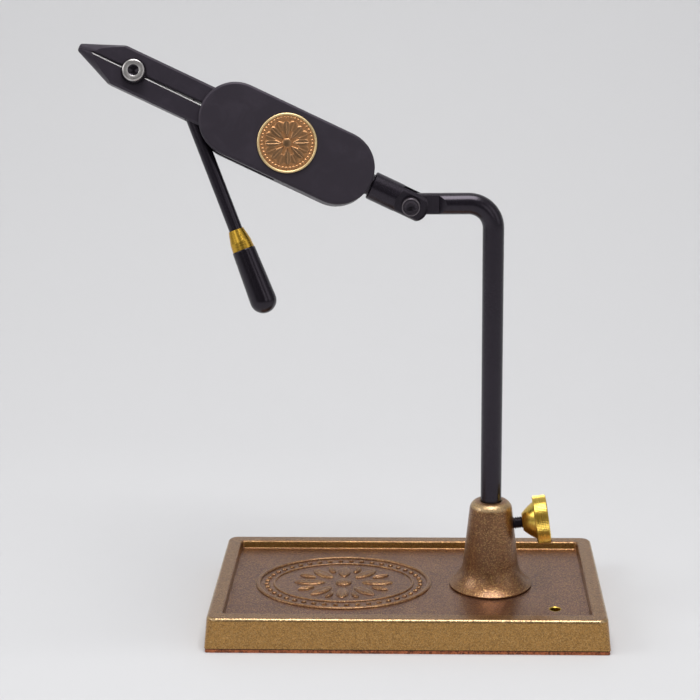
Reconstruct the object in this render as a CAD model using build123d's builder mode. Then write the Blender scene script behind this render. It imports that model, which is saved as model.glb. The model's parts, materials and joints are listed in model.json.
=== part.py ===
from build123d import *
from math import asin, cos, radians, sin, tan
import os

# Fly tying vise: spring jaws in a rotary head, on a knuckle and a bent stem that a tray base holds.
# Millimetres, +Z up. The origin is the centre of the underside of the pad under the base.
# The jaws point to -X, and the front of the head faces -Y.

# Fits that many pieces share
cut_overrun = 2.0
running_clearance = 0.05
slide_clearance = 0.1
seat_clearance = 0.03

# Base casting, a tray with a raised rim, and the pad under it
base_length = 180.0
base_depth = 102.0
base_height = 13.9
base_draft_deg = 4.5
base_corner_radius = 5.0
base_foot_corner_radius = 1.5
base_edge_round = 1.5
rim_side_width = 6.6
rim_front_width = 6.6
recess_depth = 3.5
recess_draft_deg = 10.0
recess_corner_radius = 2.2
recess_floor_round = 0.6
rim_inner_round = 1.2
pad_thickness = 2.0
pad_inset = 0.3

# Accessory hole in the tray floor, with its brass bush
bush_from_end = 23.3
bush_from_front = 21.9
bush_bore_radius = 2.3
bush_wall = 0.5

# Bell-shaped pedestal on the tray floor, and the screws that hold it from below
pedestal_from_end = 51.5
pedestal_height = 41.4
pedestal_foot_radius = 19.1
pedestal_foot_edge = 0.9
pedestal_foot_undercut = 0.5
pedestal_waist_height = 11.6
pedestal_waist_radius = 12.65
pedestal_wall_deg = 6.3
pedestal_shoulder_round = 4.3
stem_bore_chamfer = 0.55
pedestal_screw_count = 3
pedestal_screw_circle_radius = 9.4
pedestal_screw_radius = 2.0
pedestal_screw_reach = 9.0
pedestal_screw_head_radius = 3.5
pedestal_screw_head_height = 4.0
pedestal_screw_head_recess = 4.5

# Clamp screw in the side of the pedestal, square to its tapered wall
clamp_height = 28.6
clamp_rise_deg = 8.0
clamp_screw_radius = 2.74
clamp_pad_radius = 2.1
clamp_pad_thickness = 2.2
clamp_pad_pin_radius = 1.0
clamp_pad_pin_length = 2.5
clamp_exposed_length = 4.0
clamp_screw_grip = 8.0
knob_hub_length = 5.7
knob_hub_small_radius = 3.9
knob_hub_large_radius = 8.5
knob_hub_bulge = 0.4
knob_radius = 11.2
knob_thickness = 6.4
knob_edge_chamfer = 0.5
knob_flute_count = 90
knob_flute_depth = 0.18

# Bent stem with a flat tang, and the plug that it stands on
stem_radius = 4.7625
arm_height = 180.0
arm_reach = 36.3
bend_radius = 11.0
tang_thickness = 5.0
tang_flat_length = 12.3
tang_ramp_deg = 33.0
tang_end_radius = 4.9
plug_flange = 3.0
plug_pin_radius = 2.5
plug_pin_length = 6.0

# Forked knuckle on the tang, with its clamp screw
head_tilt_deg = 25.85
knuckle_radius = 6.35
knuckle_front = 19.5
knuckle_back_radius = 7.5
knuckle_edge_chamfer = 0.5
fork_floor = 6.0
spot_face_radius = 7.2
spot_face_floor = 4.4
knuckle_screw_radius = 2.08
knuckle_screw_head_radius = 4.0
knuckle_screw_head_height = 4.2
knuckle_screw_tail_inset = 0.5
knuckle_screw_hex_radius = 1.9
knuckle_screw_hex_depth = 2.2

# Spindle that turns in the knuckle and is held between the two shells of the head
spindle_radius = 3.97
spindle_tail = 8.6
spindle_bore_end_gap = 0.4
spindle_groove_start = 12.9
spindle_groove_length = 2.6
spindle_groove_depth = 0.85
spindle_collar_radius = 4.8
spindle_collar_sink = 1.8
spindle_flange_start = 28.0
spindle_flange_length = 4.0
spindle_flange_radius = 7.0
set_screw_radius = 1.5
set_screw_dog_radius = 1.1
set_screw_dog_length = 1.2
set_screw_inset = 0.4

# Head: two half shells that meet on the middle plane. Stations run along its axis from the knuckle's pivot.
head_roll_deg = 16.2
head_rear = 20.0
head_length = 81.3
head_width = 32.4
head_thickness = 15.875
head_edge_round = 1.3
cavity_rear = 45.4
cavity_side_room = 0.55
lever_slot_side_room = 0.45
lever_slot_end_room = 0.8
head_screw_radius = 1.0
head_screw_head_radius = 1.8
head_screw_head_height = 1.6
head_screw_rim_inset = 2.9
head_screw_reach = 4.6
head_rear_screw_deg = 60.0
head_top_screw_from_front = 18.3
head_bottom_screw = 52.0
medallion_radius = 13.1
medallion_thickness = 1.9
medallion_seat_depth = 1.0
medallion_rim_width = 1.2
medallion_rim_height = 0.5

# Jaws: two bars that meet at the tip, with a turned cone for a nose
jaw_tip = 159.7
jaw_tail = 46.0
jaw_thickness = 9.525
jaw_height = 9.0
jaw_tip_gap = 0.02
jaw_gap_at_head = 0.45
jaw_edge_chamfer = 1.05
jaw_upper_inner_chamfer = 0.9
jaw_lower_inner_chamfer = 0.5
jaw_nose_half_deg = 22.8
jaw_nose_tip_radius = 1.7
jaw_nose_tip_round = 1.3
jaw_pin_station = 52.0
jaw_pin_offset = 5.2
jaw_pin_radius = 2.0
jaw_pin_seat = 1.2
jaw_open_deg = 0.95
jaw_screw_station = 133.6
jaw_screw_radius = 3.175
jaw_screw_room = 0.3
jaw_screw_head_radius = 4.76
jaw_screw_head_height = 4.6
jaw_screw_head_chamfer = 0.5
jaw_screw_hex_radius = 2.3
jaw_screw_hex_depth = 2.6
jaw_washer_radius = 5.6
jaw_washer_thickness = 0.8
jaw_nut_radius = 6.0
jaw_nut_thickness = 4.0
jaw_screw_tail = 0.8

# Cam between the jaws, with the lever, its ferrule and its grip. Lever lengths run from the cam's axis.
cam_station = 109.7
cam_radius = 4.0
cam_half_flat = 2.7
cam_half_length = 3.2
cam_room = 0.15
cam_end_room = 0.5
lever_rest_deg = 43.95
lever_squeeze_deg = 22.0
lever_radius = 3.0
lever_shoulder = 4.15
lever_spigot_radius = 1.8
lever_spigot_depth = 2.4
lever_side_room = 0.35
lever_end_room = 0.4
lever_open_room = 1.4
lever_end = 92.0
ferrule_start = 62.15
ferrule_length = 9.2
ferrule_cone_length = 5.6
ferrule_small_radius = 3.4
ferrule_shoulder_radius = 4.7
ferrule_large_radius = 4.9
grip_length = 29.5
grip_neck_radius = 5.15
grip_end_radius = 6.05
grip_end_round = 5.8
grip_neck_round = 0.5

# Levels and stations that follow from the sizes above
base_top = pad_thickness + base_height
floor_level = base_top - recess_depth
base_draft_inset = base_height * tan(radians(base_draft_deg))
recess_length = base_length - 2 * (base_draft_inset + rim_side_width)
recess_width = base_depth - 2 * (base_draft_inset + rim_front_width)
bush_x = base_length / 2 - bush_from_end
bush_y = bush_from_front - base_depth / 2
pedestal_x = base_length / 2 - pedestal_from_end
stem_bore_radius = stem_radius + running_clearance
stem_foot = floor_level + plug_flange
arm_level = floor_level + arm_height
pivot_x = pedestal_x - arm_reach
fork_width = tang_thickness + 2 * slide_clearance
head_front = head_rear + head_length
head_middle = head_rear + head_length / 2
head_top_screw = head_front - head_top_screw_from_front
half_shell = head_thickness / 2
cavity_depth = jaw_thickness / 2 + slide_clearance
spindle_bore_radius = spindle_radius + running_clearance
jaw_slope = (jaw_gap_at_head - jaw_tip_gap) / (jaw_tip - head_front)
lever_squeezed_deg = lever_rest_deg - lever_squeeze_deg
jaw_mouth_travel = (head_front - jaw_pin_station) * tan(radians(jaw_open_deg))
cavity_half_height = jaw_height + jaw_mouth_travel + cavity_side_room
grip_start = ferrule_start + ferrule_length
grip_end = grip_start + grip_length

# The pedestal's own frame, and the clamp screw's: its z runs out along the screw from the stem's axis
pedestal_axis = Axis((pedestal_x, 0, floor_level), (0, 0, 1))
pedestal_profile_plane = Plane((pedestal_x, 0, floor_level), x_dir=(1, 0, 0), z_dir=(0, -1, 0))
clamp_origin = Vector(pedestal_x, 0, floor_level + clamp_height)
clamp_direction = Vector(cos(radians(clamp_rise_deg)), 0, sin(radians(clamp_rise_deg)))
clamp_axis = Axis(clamp_origin, clamp_direction)
clamp_plane = Plane(clamp_origin, x_dir=(0, 1, 0), z_dir=clamp_direction)
clamp_profile_plane = Plane(clamp_origin, x_dir=clamp_direction, z_dir=(0, -1, 0))

# The knuckle's frame: x along the head's axis towards the jaws, y up across it, z to the back
tilt = radians(head_tilt_deg)
roll = radians(head_roll_deg)
pivot = Vector(pivot_x, 0, arm_level)
head_direction = Vector(-cos(tilt), 0, sin(tilt))
upward = Vector(sin(tilt), 0, cos(tilt))
knuckle_plane = Plane(pivot, x_dir=head_direction, z_dir=(0, 1, 0))

# The head's frame is the knuckle's, rolled about the head's axis so that the front tips up
back_direction = Vector(0, 1, 0) * cos(roll) - upward * sin(roll)
head_plane = Plane(pivot, x_dir=head_direction, z_dir=back_direction)
head_axis = Axis(pivot, head_direction)

# The lever's frame: x along the lever from the cam's axis, z to the back
lever_angle = radians(lever_rest_deg)
cam_centre = head_plane.from_local_coords((cam_station, 0, 0))
lever_direction = head_plane.x_dir * -cos(lever_angle) - head_plane.y_dir * sin(lever_angle)
lever_plane = Plane(cam_centre, x_dir=lever_direction, z_dir=back_direction)
lever_axis = Axis(cam_centre, lever_direction)

os.makedirs("parts", exist_ok=True)


def finish(piece, name):
    """Labels a finished piece and writes it to its own file."""
    piece.part.label = name
    export_step(piece.part, f"parts/{name}.step")


def knuckle_section(station):
    """The plane square to the head's axis at a station, in the knuckle's frame."""
    return Plane(knuckle_plane.from_local_coords((station, 0, 0)), x_dir=upward, z_dir=head_direction)


def head_layer(depth, station=0, offset=0):
    """The head's side-view plane at a depth behind the middle, with its origin at a station and an offset."""
    return Plane(
        head_plane.from_local_coords((station, offset, depth)),
        x_dir=head_direction,
        z_dir=back_direction,
    )


def jaw_gap(station):
    """Half the gap between the jaws at a station."""
    return jaw_tip_gap + jaw_slope * (jaw_tip - station)


def lever_edge(angle_deg, side, offset):
    """Station where a line beside the lever, set at an angle, crosses an offset below the head's axis."""
    angle = radians(angle_deg)
    return cam_station - offset / tan(angle) + side / sin(angle)


# Base casting, with corners that are nearly square at the foot and rounder at the rim
with BuildPart() as base_plate:
    with BuildSketch(Plane.XY.offset(pad_thickness)):
        RectangleRounded(base_length, base_depth, base_foot_corner_radius)
    with BuildSketch(Plane.XY.offset(base_top)):
        RectangleRounded(
            base_length - 2 * base_draft_inset,
            base_depth - 2 * base_draft_inset,
            base_corner_radius,
        )
    loft(ruled=True)
    fillet(base_plate.faces().sort_by(Axis.Z)[-1].edges(), base_edge_round)
    with BuildSketch(Plane.XY.offset(base_top)):
        RectangleRounded(recess_length, recess_width, recess_corner_radius)
    extrude(amount=-recess_depth, taper=recess_draft_deg, mode=Mode.SUBTRACT)
    level_faces = base_plate.faces().filter_by(Axis.Z).sort_by(Axis.Z)
    fillet(level_faces[-2].edges(), recess_floor_round)
    fillet(base_plate.faces().filter_by(Axis.Z).sort_by(Axis.Z)[-1].inner_wires().edges(), rim_inner_round)
    with BuildSketch(Plane.XY.offset(floor_level)):
        with Locations((bush_x, bush_y)):
            Circle(bush_bore_radius + bush_wall)
        with Locations((pedestal_x, 0)):
            with PolarLocations(pedestal_screw_circle_radius, pedestal_screw_count):
                Circle(pedestal_screw_radius + seat_clearance)
    extrude(amount=pad_thickness - floor_level, mode=Mode.SUBTRACT)
    with BuildSketch(Plane.XY.offset(pad_thickness)):
        with Locations((pedestal_x, 0)):
            with PolarLocations(pedestal_screw_circle_radius, pedestal_screw_count):
                Circle(pedestal_screw_head_radius + running_clearance)
    extrude(amount=pedestal_screw_head_recess, mode=Mode.SUBTRACT)
finish(base_plate, "base_plate")

# Pad under the base
with BuildPart() as base_pad:
    with BuildSketch():
        RectangleRounded(
            base_length - 2 * pad_inset,
            base_depth - 2 * pad_inset,
            base_foot_corner_radius - pad_inset,
        )
    extrude(amount=pad_thickness)
finish(base_pad, "base_pad")

# Brass bush of the accessory hole, flush with the tray floor
with BuildPart() as accessory_bush:
    with BuildSketch(Plane.XY.offset(pad_thickness)):
        with Locations((bush_x, bush_y)):
            Circle(bush_bore_radius + bush_wall)
            Circle(bush_bore_radius, mode=Mode.SUBTRACT)
    extrude(amount=floor_level - pad_thickness)
finish(accessory_bush, "accessory_bush")

# Pedestal: a turned bell with the stem's bore, the clamp screw's hole and three screw holes in its foot
wall_slope = tan(radians(pedestal_wall_deg))
pedestal_top_radius = pedestal_waist_radius - (pedestal_height - pedestal_waist_height) * wall_slope
with BuildPart() as pedestal:
    with BuildSketch(pedestal_profile_plane) as bell:
        with BuildLine():
            waist = (pedestal_waist_radius, pedestal_waist_height)
            foot_edge = (pedestal_foot_radius, pedestal_foot_edge)
            TangentArc(waist, foot_edge, tangent=(wall_slope, -1))
            Polyline(
                foot_edge,
                (pedestal_foot_radius, pedestal_foot_undercut),
                (pedestal_foot_radius - pedestal_foot_undercut, 0),
                (stem_bore_radius, 0),
                (stem_bore_radius, pedestal_height - stem_bore_chamfer),
                (stem_bore_radius + stem_bore_chamfer, pedestal_height),
                (pedestal_top_radius, pedestal_height),
                waist,
            )
        make_face()
        shoulder = bell.vertices().sort_by_distance((pedestal_top_radius, pedestal_height, 0))[0]
        fillet(shoulder, pedestal_shoulder_round)
    revolve(axis=pedestal_axis)
    with BuildSketch(clamp_plane):
        Circle(clamp_screw_radius + running_clearance)
    extrude(amount=pedestal_foot_radius, mode=Mode.SUBTRACT)
    with BuildSketch(Plane.XY.offset(floor_level)):
        with Locations((pedestal_x, 0)):
            with PolarLocations(pedestal_screw_circle_radius, pedestal_screw_count):
                Circle(pedestal_screw_radius + seat_clearance)
    extrude(amount=pedestal_screw_reach, mode=Mode.SUBTRACT)
finish(pedestal, "pedestal")

# Screws that hold the pedestal from below
pedestal_screw_seat = pad_thickness + pedestal_screw_head_recess
with BuildPart() as pedestal_screws:
    with BuildSketch(Plane.XY.offset(pedestal_screw_seat)):
        with Locations((pedestal_x, 0)):
            with PolarLocations(pedestal_screw_circle_radius, pedestal_screw_count):
                Circle(pedestal_screw_head_radius)
    extrude(amount=-pedestal_screw_head_height)
    with BuildSketch(Plane.XY.offset(pedestal_screw_seat)):
        with Locations((pedestal_x, 0)):
            with PolarLocations(pedestal_screw_circle_radius, pedestal_screw_count):
                Circle(pedestal_screw_radius)
    extrude(amount=floor_level + pedestal_screw_reach - seat_clearance - pedestal_screw_seat)
finish(pedestal_screws, "pedestal_screws")

# Stations along the clamp screw, from the stem's axis
clamp_rise = tan(radians(clamp_rise_deg))
clamp_wall_radius = pedestal_waist_radius - (clamp_height - pedestal_waist_height) * wall_slope
clamp_wall = clamp_wall_radius / (1 + clamp_rise * wall_slope) / cos(radians(clamp_rise_deg))
clamp_pad_back = stem_radius + clamp_pad_thickness
clamp_screw_tip = clamp_pad_back + slide_clearance
knob_hub_start = clamp_wall + clamp_exposed_length
knob_rim_start = knob_hub_start + knob_hub_length
knob_end = knob_rim_start + knob_thickness

# Saddle pad on the tip of the clamp screw
with BuildPart() as clamp_pad:
    with BuildSketch(clamp_plane):
        Circle(clamp_pad_radius)
    extrude(amount=clamp_pad_back)
    with BuildSketch(clamp_plane.offset(clamp_pad_back)):
        Circle(clamp_pad_pin_radius)
    extrude(amount=clamp_pad_pin_length)
    with BuildSketch(Plane.XY.offset(floor_level)):
        with Locations((pedestal_x, 0)):
            Circle(stem_bore_radius)
    extrude(amount=pedestal_height, mode=Mode.SUBTRACT)
finish(clamp_pad, "clamp_pad")

# Shank of the clamp screw, bored at its tip for the pad's pin
with BuildPart() as thumbscrew_shank:
    with BuildSketch(clamp_plane.offset(clamp_screw_tip)):
        Circle(clamp_screw_radius)
    extrude(amount=knob_hub_start + clamp_screw_grip - clamp_screw_tip)
    with BuildSketch(clamp_plane.offset(clamp_screw_tip)):
        Circle(clamp_pad_pin_radius + running_clearance)
    extrude(amount=clamp_pad_pin_length + slide_clearance, mode=Mode.SUBTRACT)
finish(thumbscrew_shank, "thumbscrew_shank")

# Brass knob: a domed hub behind a fluted disc
hub_middle_radius = (knob_hub_small_radius + knob_hub_large_radius) / 2 + knob_hub_bulge
with BuildPart() as thumbscrew_knob:
    with BuildSketch(clamp_profile_plane):
        with BuildLine():
            hub_front = (knob_hub_start, knob_hub_small_radius)
            hub_back = (knob_rim_start, knob_hub_large_radius)
            ThreePointArc(hub_front, (knob_hub_start + knob_hub_length / 2, hub_middle_radius), hub_back)
            Polyline(
                hub_back,
                (knob_rim_start, knob_radius - knob_edge_chamfer),
                (knob_rim_start + knob_edge_chamfer, knob_radius),
                (knob_end - knob_edge_chamfer, knob_radius),
                (knob_end, knob_radius - knob_edge_chamfer),
                (knob_end, 0),
                (knob_hub_start, 0),
                hub_front,
            )
        make_face()
    revolve(axis=clamp_axis)
    flute_half_width = 2 * knob_flute_depth
    with BuildSketch(clamp_plane.offset(knob_rim_start)):
        with PolarLocations(knob_radius, knob_flute_count):
            Polygon(
                (-knob_flute_depth, 0),
                (knob_flute_depth, flute_half_width),
                (knob_flute_depth, -flute_half_width),
                align=None,
            )
    extrude(amount=knob_thickness, mode=Mode.SUBTRACT)
    with BuildSketch(clamp_plane.offset(knob_hub_start)):
        Circle(clamp_screw_radius + seat_clearance)
    extrude(amount=clamp_screw_grip + seat_clearance, mode=Mode.SUBTRACT)
finish(thumbscrew_knob, "thumbscrew_knob")

# Plug that the stem stands on, with a pin up the middle of the stem
with BuildPart() as stem_end_plug:
    with BuildSketch(Plane.XY.offset(floor_level)):
        with Locations((pedestal_x, 0)):
            Circle(stem_radius)
    extrude(amount=plug_flange)
    with BuildSketch(Plane.XY.offset(stem_foot)):
        with Locations((pedestal_x, 0)):
            Circle(plug_pin_radius)
    extrude(amount=plug_pin_length)
finish(stem_end_plug, "stem_end_plug")

# Bent stem: one rod with flats milled on its end for the knuckle
tang_half = tang_thickness / 2
tang_cut_height = stem_radius + cut_overrun
with BuildPart() as stem_rod:
    with BuildLine() as stem_path:
        FilletPolyline(
            (pedestal_x, 0, stem_foot),
            (pedestal_x, 0, arm_level),
            (pivot_x - tang_cut_height, 0, arm_level),
            radius=bend_radius,
        )
    with BuildSketch(Plane((pedestal_x, 0, stem_foot))):
        Circle(stem_radius)
    sweep(path=stem_path.line)
    with BuildSketch(Plane(pivot)):
        with BuildLine():
            ramp_run = (tang_cut_height - tang_half) / tan(radians(tang_ramp_deg))
            Polyline(
                (-tang_cut_height - cut_overrun, -tang_cut_height),
                (-tang_cut_height - cut_overrun, -tang_half),
                (tang_flat_length, -tang_half),
                (tang_flat_length + ramp_run, -tang_cut_height),
                close=True,
            )
        make_face()
        mirror(about=Plane.XZ)
    extrude(amount=tang_cut_height, both=True, mode=Mode.SUBTRACT)
    with BuildSketch(Plane(pivot, x_dir=(1, 0, 0), z_dir=(0, -1, 0))):
        with Locations((-tang_cut_height / 2 - cut_overrun / 2, 0)):
            Rectangle(tang_cut_height + cut_overrun, 2 * tang_cut_height)
        Circle(tang_end_radius, mode=Mode.SUBTRACT)
        Circle(knuckle_screw_radius + running_clearance)
    extrude(amount=tang_cut_height, both=True, mode=Mode.SUBTRACT)
    with BuildSketch(Plane.XY.offset(stem_foot)):
        with Locations((pedestal_x, 0)):
            Circle(plug_pin_radius + running_clearance)
    extrude(amount=plug_pin_length + slide_clearance, mode=Mode.SUBTRACT)
finish(stem_rod, "stem_rod")

# Knuckle: a cylinder forked round the tang, spot-faced for its screw and bored for the spindle
spindle_bore_end = spindle_tail - spindle_bore_end_gap
set_screw_station = spindle_groove_start + spindle_groove_length / 2
with BuildPart() as knuckle:
    with BuildSketch(knuckle_section(-knuckle_back_radius)):
        Circle(knuckle_radius)
    extrude(amount=knuckle_back_radius + knuckle_front)
    chamfer(knuckle.faces().sort_by(head_axis)[-1].edges(), knuckle_edge_chamfer)
    with BuildSketch(knuckle_plane):
        Circle(knuckle_back_radius)
        with Locations((knuckle_front / 2, 0)):
            Rectangle(knuckle_front, 2 * knuckle_back_radius)
    extrude(amount=knuckle_radius, both=True, mode=Mode.INTERSECT)
    with BuildSketch(knuckle_plane):
        with Locations(((fork_floor - knuckle_back_radius - cut_overrun) / 2, 0)):
            Rectangle(fork_floor + knuckle_back_radius + cut_overrun, 2 * (knuckle_radius + cut_overrun))
    extrude(amount=fork_width / 2, both=True, mode=Mode.SUBTRACT)
    with BuildSketch(knuckle_plane.offset(-spot_face_floor)):
        Circle(spot_face_radius)
    extrude(amount=-knuckle_radius, mode=Mode.SUBTRACT)
    with BuildSketch(knuckle_plane):
        Circle(knuckle_screw_radius + seat_clearance)
    extrude(amount=knuckle_radius + cut_overrun, both=True, mode=Mode.SUBTRACT)
    with BuildSketch(knuckle_section(spindle_bore_end)):
        Circle(spindle_bore_radius)
    extrude(amount=knuckle_front + cut_overrun - spindle_bore_end, mode=Mode.SUBTRACT)
    with BuildSketch(knuckle_plane):
        with Locations((set_screw_station, 0)):
            Circle(set_screw_radius + seat_clearance)
    extrude(amount=knuckle_radius + cut_overrun, mode=Mode.SUBTRACT)
finish(knuckle, "knuckle")

# Socket cap screw that clamps the fork on the tang
with BuildPart() as knuckle_screw:
    with BuildSketch(knuckle_plane.offset(-spot_face_floor)):
        Circle(knuckle_screw_head_radius)
    extrude(amount=-knuckle_screw_head_height)
    with BuildSketch(knuckle_plane.offset(-spot_face_floor)):
        Circle(knuckle_screw_radius)
    extrude(amount=spot_face_floor + knuckle_radius - knuckle_screw_tail_inset)
    with BuildSketch(knuckle_plane.offset(-spot_face_floor - knuckle_screw_head_height)):
        RegularPolygon(knuckle_screw_hex_radius, 6)
    extrude(amount=knuckle_screw_hex_depth, mode=Mode.SUBTRACT)
finish(knuckle_screw, "knuckle_screw")

# Dog-point screw at the back of the knuckle, whose point runs in the spindle's groove
set_screw_point = spindle_radius - spindle_groove_depth + slide_clearance
set_screw_end = knuckle_radius - set_screw_inset
with BuildPart() as spindle_set_screw:
    with BuildSketch(knuckle_plane.offset(set_screw_point)):
        with Locations((set_screw_station, 0)):
            Circle(set_screw_dog_radius)
    extrude(amount=set_screw_dog_length)
    with BuildSketch(knuckle_plane.offset(set_screw_point + set_screw_dog_length)):
        with Locations((set_screw_station, 0)):
            Circle(set_screw_radius)
    extrude(amount=set_screw_end - set_screw_point - set_screw_dog_length)
finish(spindle_set_screw, "spindle_set_screw")

# Spindle: journal, retaining groove, collar and the flange that the shells hold
spindle_groove_end = spindle_groove_start + spindle_groove_length
spindle_groove_radius = spindle_radius - spindle_groove_depth
spindle_collar_end = head_rear + spindle_collar_sink
spindle_flange_end = spindle_flange_start + spindle_flange_length
with BuildPart() as spindle:
    with BuildSketch(head_plane):
        with BuildLine():
            Polyline(
                (spindle_tail, 0),
                (spindle_tail, spindle_radius),
                (spindle_groove_start, spindle_radius),
                (spindle_groove_start, spindle_groove_radius),
                (spindle_groove_end, spindle_groove_radius),
                (spindle_groove_end, spindle_radius),
                (knuckle_front + slide_clearance, spindle_radius),
                (knuckle_front + slide_clearance, spindle_collar_radius),
                (spindle_collar_end, spindle_collar_radius),
                (spindle_collar_end, spindle_radius),
                (spindle_flange_start, spindle_radius),
                (spindle_flange_start, spindle_flange_radius),
                (spindle_flange_end, spindle_flange_radius),
                (spindle_flange_end, 0),
                close=True,
            )
        make_face()
    revolve(axis=head_axis)
finish(spindle, "spindle")

# Places on the head's side view: the jaw pins, and the screws that join the shells through their rims
head_arc_radius = head_width / 2
head_rear_centre = head_rear + head_arc_radius
head_screw_circle = head_arc_radius - head_screw_rim_inset
rear_screw_run = head_screw_circle * cos(radians(head_rear_screw_deg))
rear_screw_rise = head_screw_circle * sin(radians(head_rear_screw_deg))
head_screw_places = [
    (head_rear_centre - rear_screw_run, rear_screw_rise),
    (head_rear_centre - rear_screw_run, -rear_screw_rise),
    (head_top_screw, head_screw_circle),
    (head_bottom_screw, -head_screw_circle),
]
jaw_pin_places = [(jaw_pin_station, jaw_pin_offset), (jaw_pin_station, -jaw_pin_offset)]
lever_slot_rear = lever_edge(lever_squeezed_deg, -lever_radius - lever_slot_end_room, head_arc_radius)
lever_slot_depth = lever_radius + lever_slot_side_room
cavity_front = head_front + cut_overrun


def half_shell_blank(side):
    """One half of the head, front (side -1) or back (side 1): rounded outside and hollowed inside."""
    with BuildPart() as shell:
        with BuildSketch(head_layer(0, head_middle)):
            SlotOverall(head_length, head_width)
        extrude(amount=side * half_shell)
        outer_face = shell.faces().sort_by(Axis(pivot, back_direction * side))[-1]
        fillet(outer_face.edges(), head_edge_round)
        with BuildSketch(head_layer(0)):
            with Locations(((cavity_rear + cavity_front) / 2, 0)):
                Rectangle(cavity_front - cavity_rear, 2 * cavity_half_height)
        extrude(amount=side * cavity_depth, mode=Mode.SUBTRACT)
        with BuildSketch(head_layer(0)):
            with Locations(((lever_slot_rear + cavity_front) / 2, -(head_arc_radius + cut_overrun) / 2)):
                Rectangle(cavity_front - lever_slot_rear, head_arc_radius + cut_overrun)
        extrude(amount=side * lever_slot_depth, mode=Mode.SUBTRACT)
        with BuildSketch(head_layer(0)):
            with BuildLine():
                Polyline(
                    (head_rear - cut_overrun, 0),
                    (head_rear - cut_overrun, spindle_collar_radius + seat_clearance),
                    (spindle_collar_end + seat_clearance, spindle_collar_radius + seat_clearance),
                    (spindle_collar_end + seat_clearance, spindle_radius + seat_clearance),
                    (spindle_flange_start - seat_clearance, spindle_radius + seat_clearance),
                    (spindle_flange_start - seat_clearance, spindle_flange_radius + seat_clearance),
                    (spindle_flange_end + seat_clearance, spindle_flange_radius + seat_clearance),
                    (spindle_flange_end + seat_clearance, 0),
                    close=True,
                )
            make_face()
        revolve(axis=head_axis, mode=Mode.SUBTRACT)
        with BuildSketch(head_layer(0)):
            with Locations(*jaw_pin_places):
                Circle(jaw_pin_radius + seat_clearance)
        extrude(amount=side * (cavity_depth + jaw_pin_seat), mode=Mode.SUBTRACT)
    return shell.part


# Front shell: blind holes for the head screws, and a seat for the medallion
with BuildPart() as head_front_shell:
    add(half_shell_blank(-1))
    with BuildSketch(head_layer(0)):
        with Locations(*head_screw_places):
            Circle(head_screw_radius + seat_clearance)
    extrude(amount=-head_screw_reach, mode=Mode.SUBTRACT)
    with BuildSketch(head_layer(-half_shell, head_middle)):
        Circle(medallion_radius + seat_clearance)
    extrude(amount=medallion_seat_depth, mode=Mode.SUBTRACT)
finish(head_front_shell, "head_front_shell")

# Back shell: through holes for the head screws, sunk for their heads
with BuildPart() as head_back_shell:
    add(half_shell_blank(1))
    with BuildSketch(head_layer(0)):
        with Locations(*head_screw_places):
            Circle(head_screw_radius + seat_clearance)
    extrude(amount=half_shell, mode=Mode.SUBTRACT)
    with BuildSketch(head_layer(half_shell)):
        with Locations(*head_screw_places):
            Circle(head_screw_head_radius + seat_clearance)
    extrude(amount=-head_screw_head_height, mode=Mode.SUBTRACT)
finish(head_back_shell, "head_back_shell")

# Screws that join the two shells
with BuildPart() as head_screws:
    with BuildSketch(head_layer(half_shell)):
        with Locations(*head_screw_places):
            Circle(head_screw_head_radius)
    extrude(amount=-head_screw_head_height)
    with BuildSketch(head_layer(half_shell - head_screw_head_height)):
        with Locations(*head_screw_places):
            Circle(head_screw_radius)
    extrude(amount=head_screw_head_height - half_shell - head_screw_reach + seat_clearance)
finish(head_screws, "head_screws")

# Pins that hold the tails of the jaws
with BuildPart() as jaw_pins:
    with BuildSketch(head_layer(0)):
        with Locations(*jaw_pin_places):
            Circle(jaw_pin_radius)
    extrude(amount=cavity_depth + jaw_pin_seat - seat_clearance, both=True)
finish(jaw_pins, "jaw_pins")

# Medallion: a disc with a raised rim, bedded in the front shell
medallion_back = medallion_seat_depth - half_shell
with BuildPart() as medallion:
    with BuildSketch(head_layer(medallion_back, head_middle)):
        Circle(medallion_radius)
    extrude(amount=-medallion_thickness)
    with BuildSketch(head_layer(medallion_back - medallion_thickness, head_middle)):
        Circle(medallion_radius - medallion_rim_width)
    extrude(amount=medallion_rim_height, mode=Mode.SUBTRACT)
finish(medallion, "medallion")

# Cone that the nose of both jaws is turned to
nose_slope = tan(radians(jaw_nose_half_deg))
nose_blank_radius = jaw_height + jaw_thickness
nose_blank_end = jaw_tip - (nose_blank_radius - jaw_nose_tip_radius) / nose_slope


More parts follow.
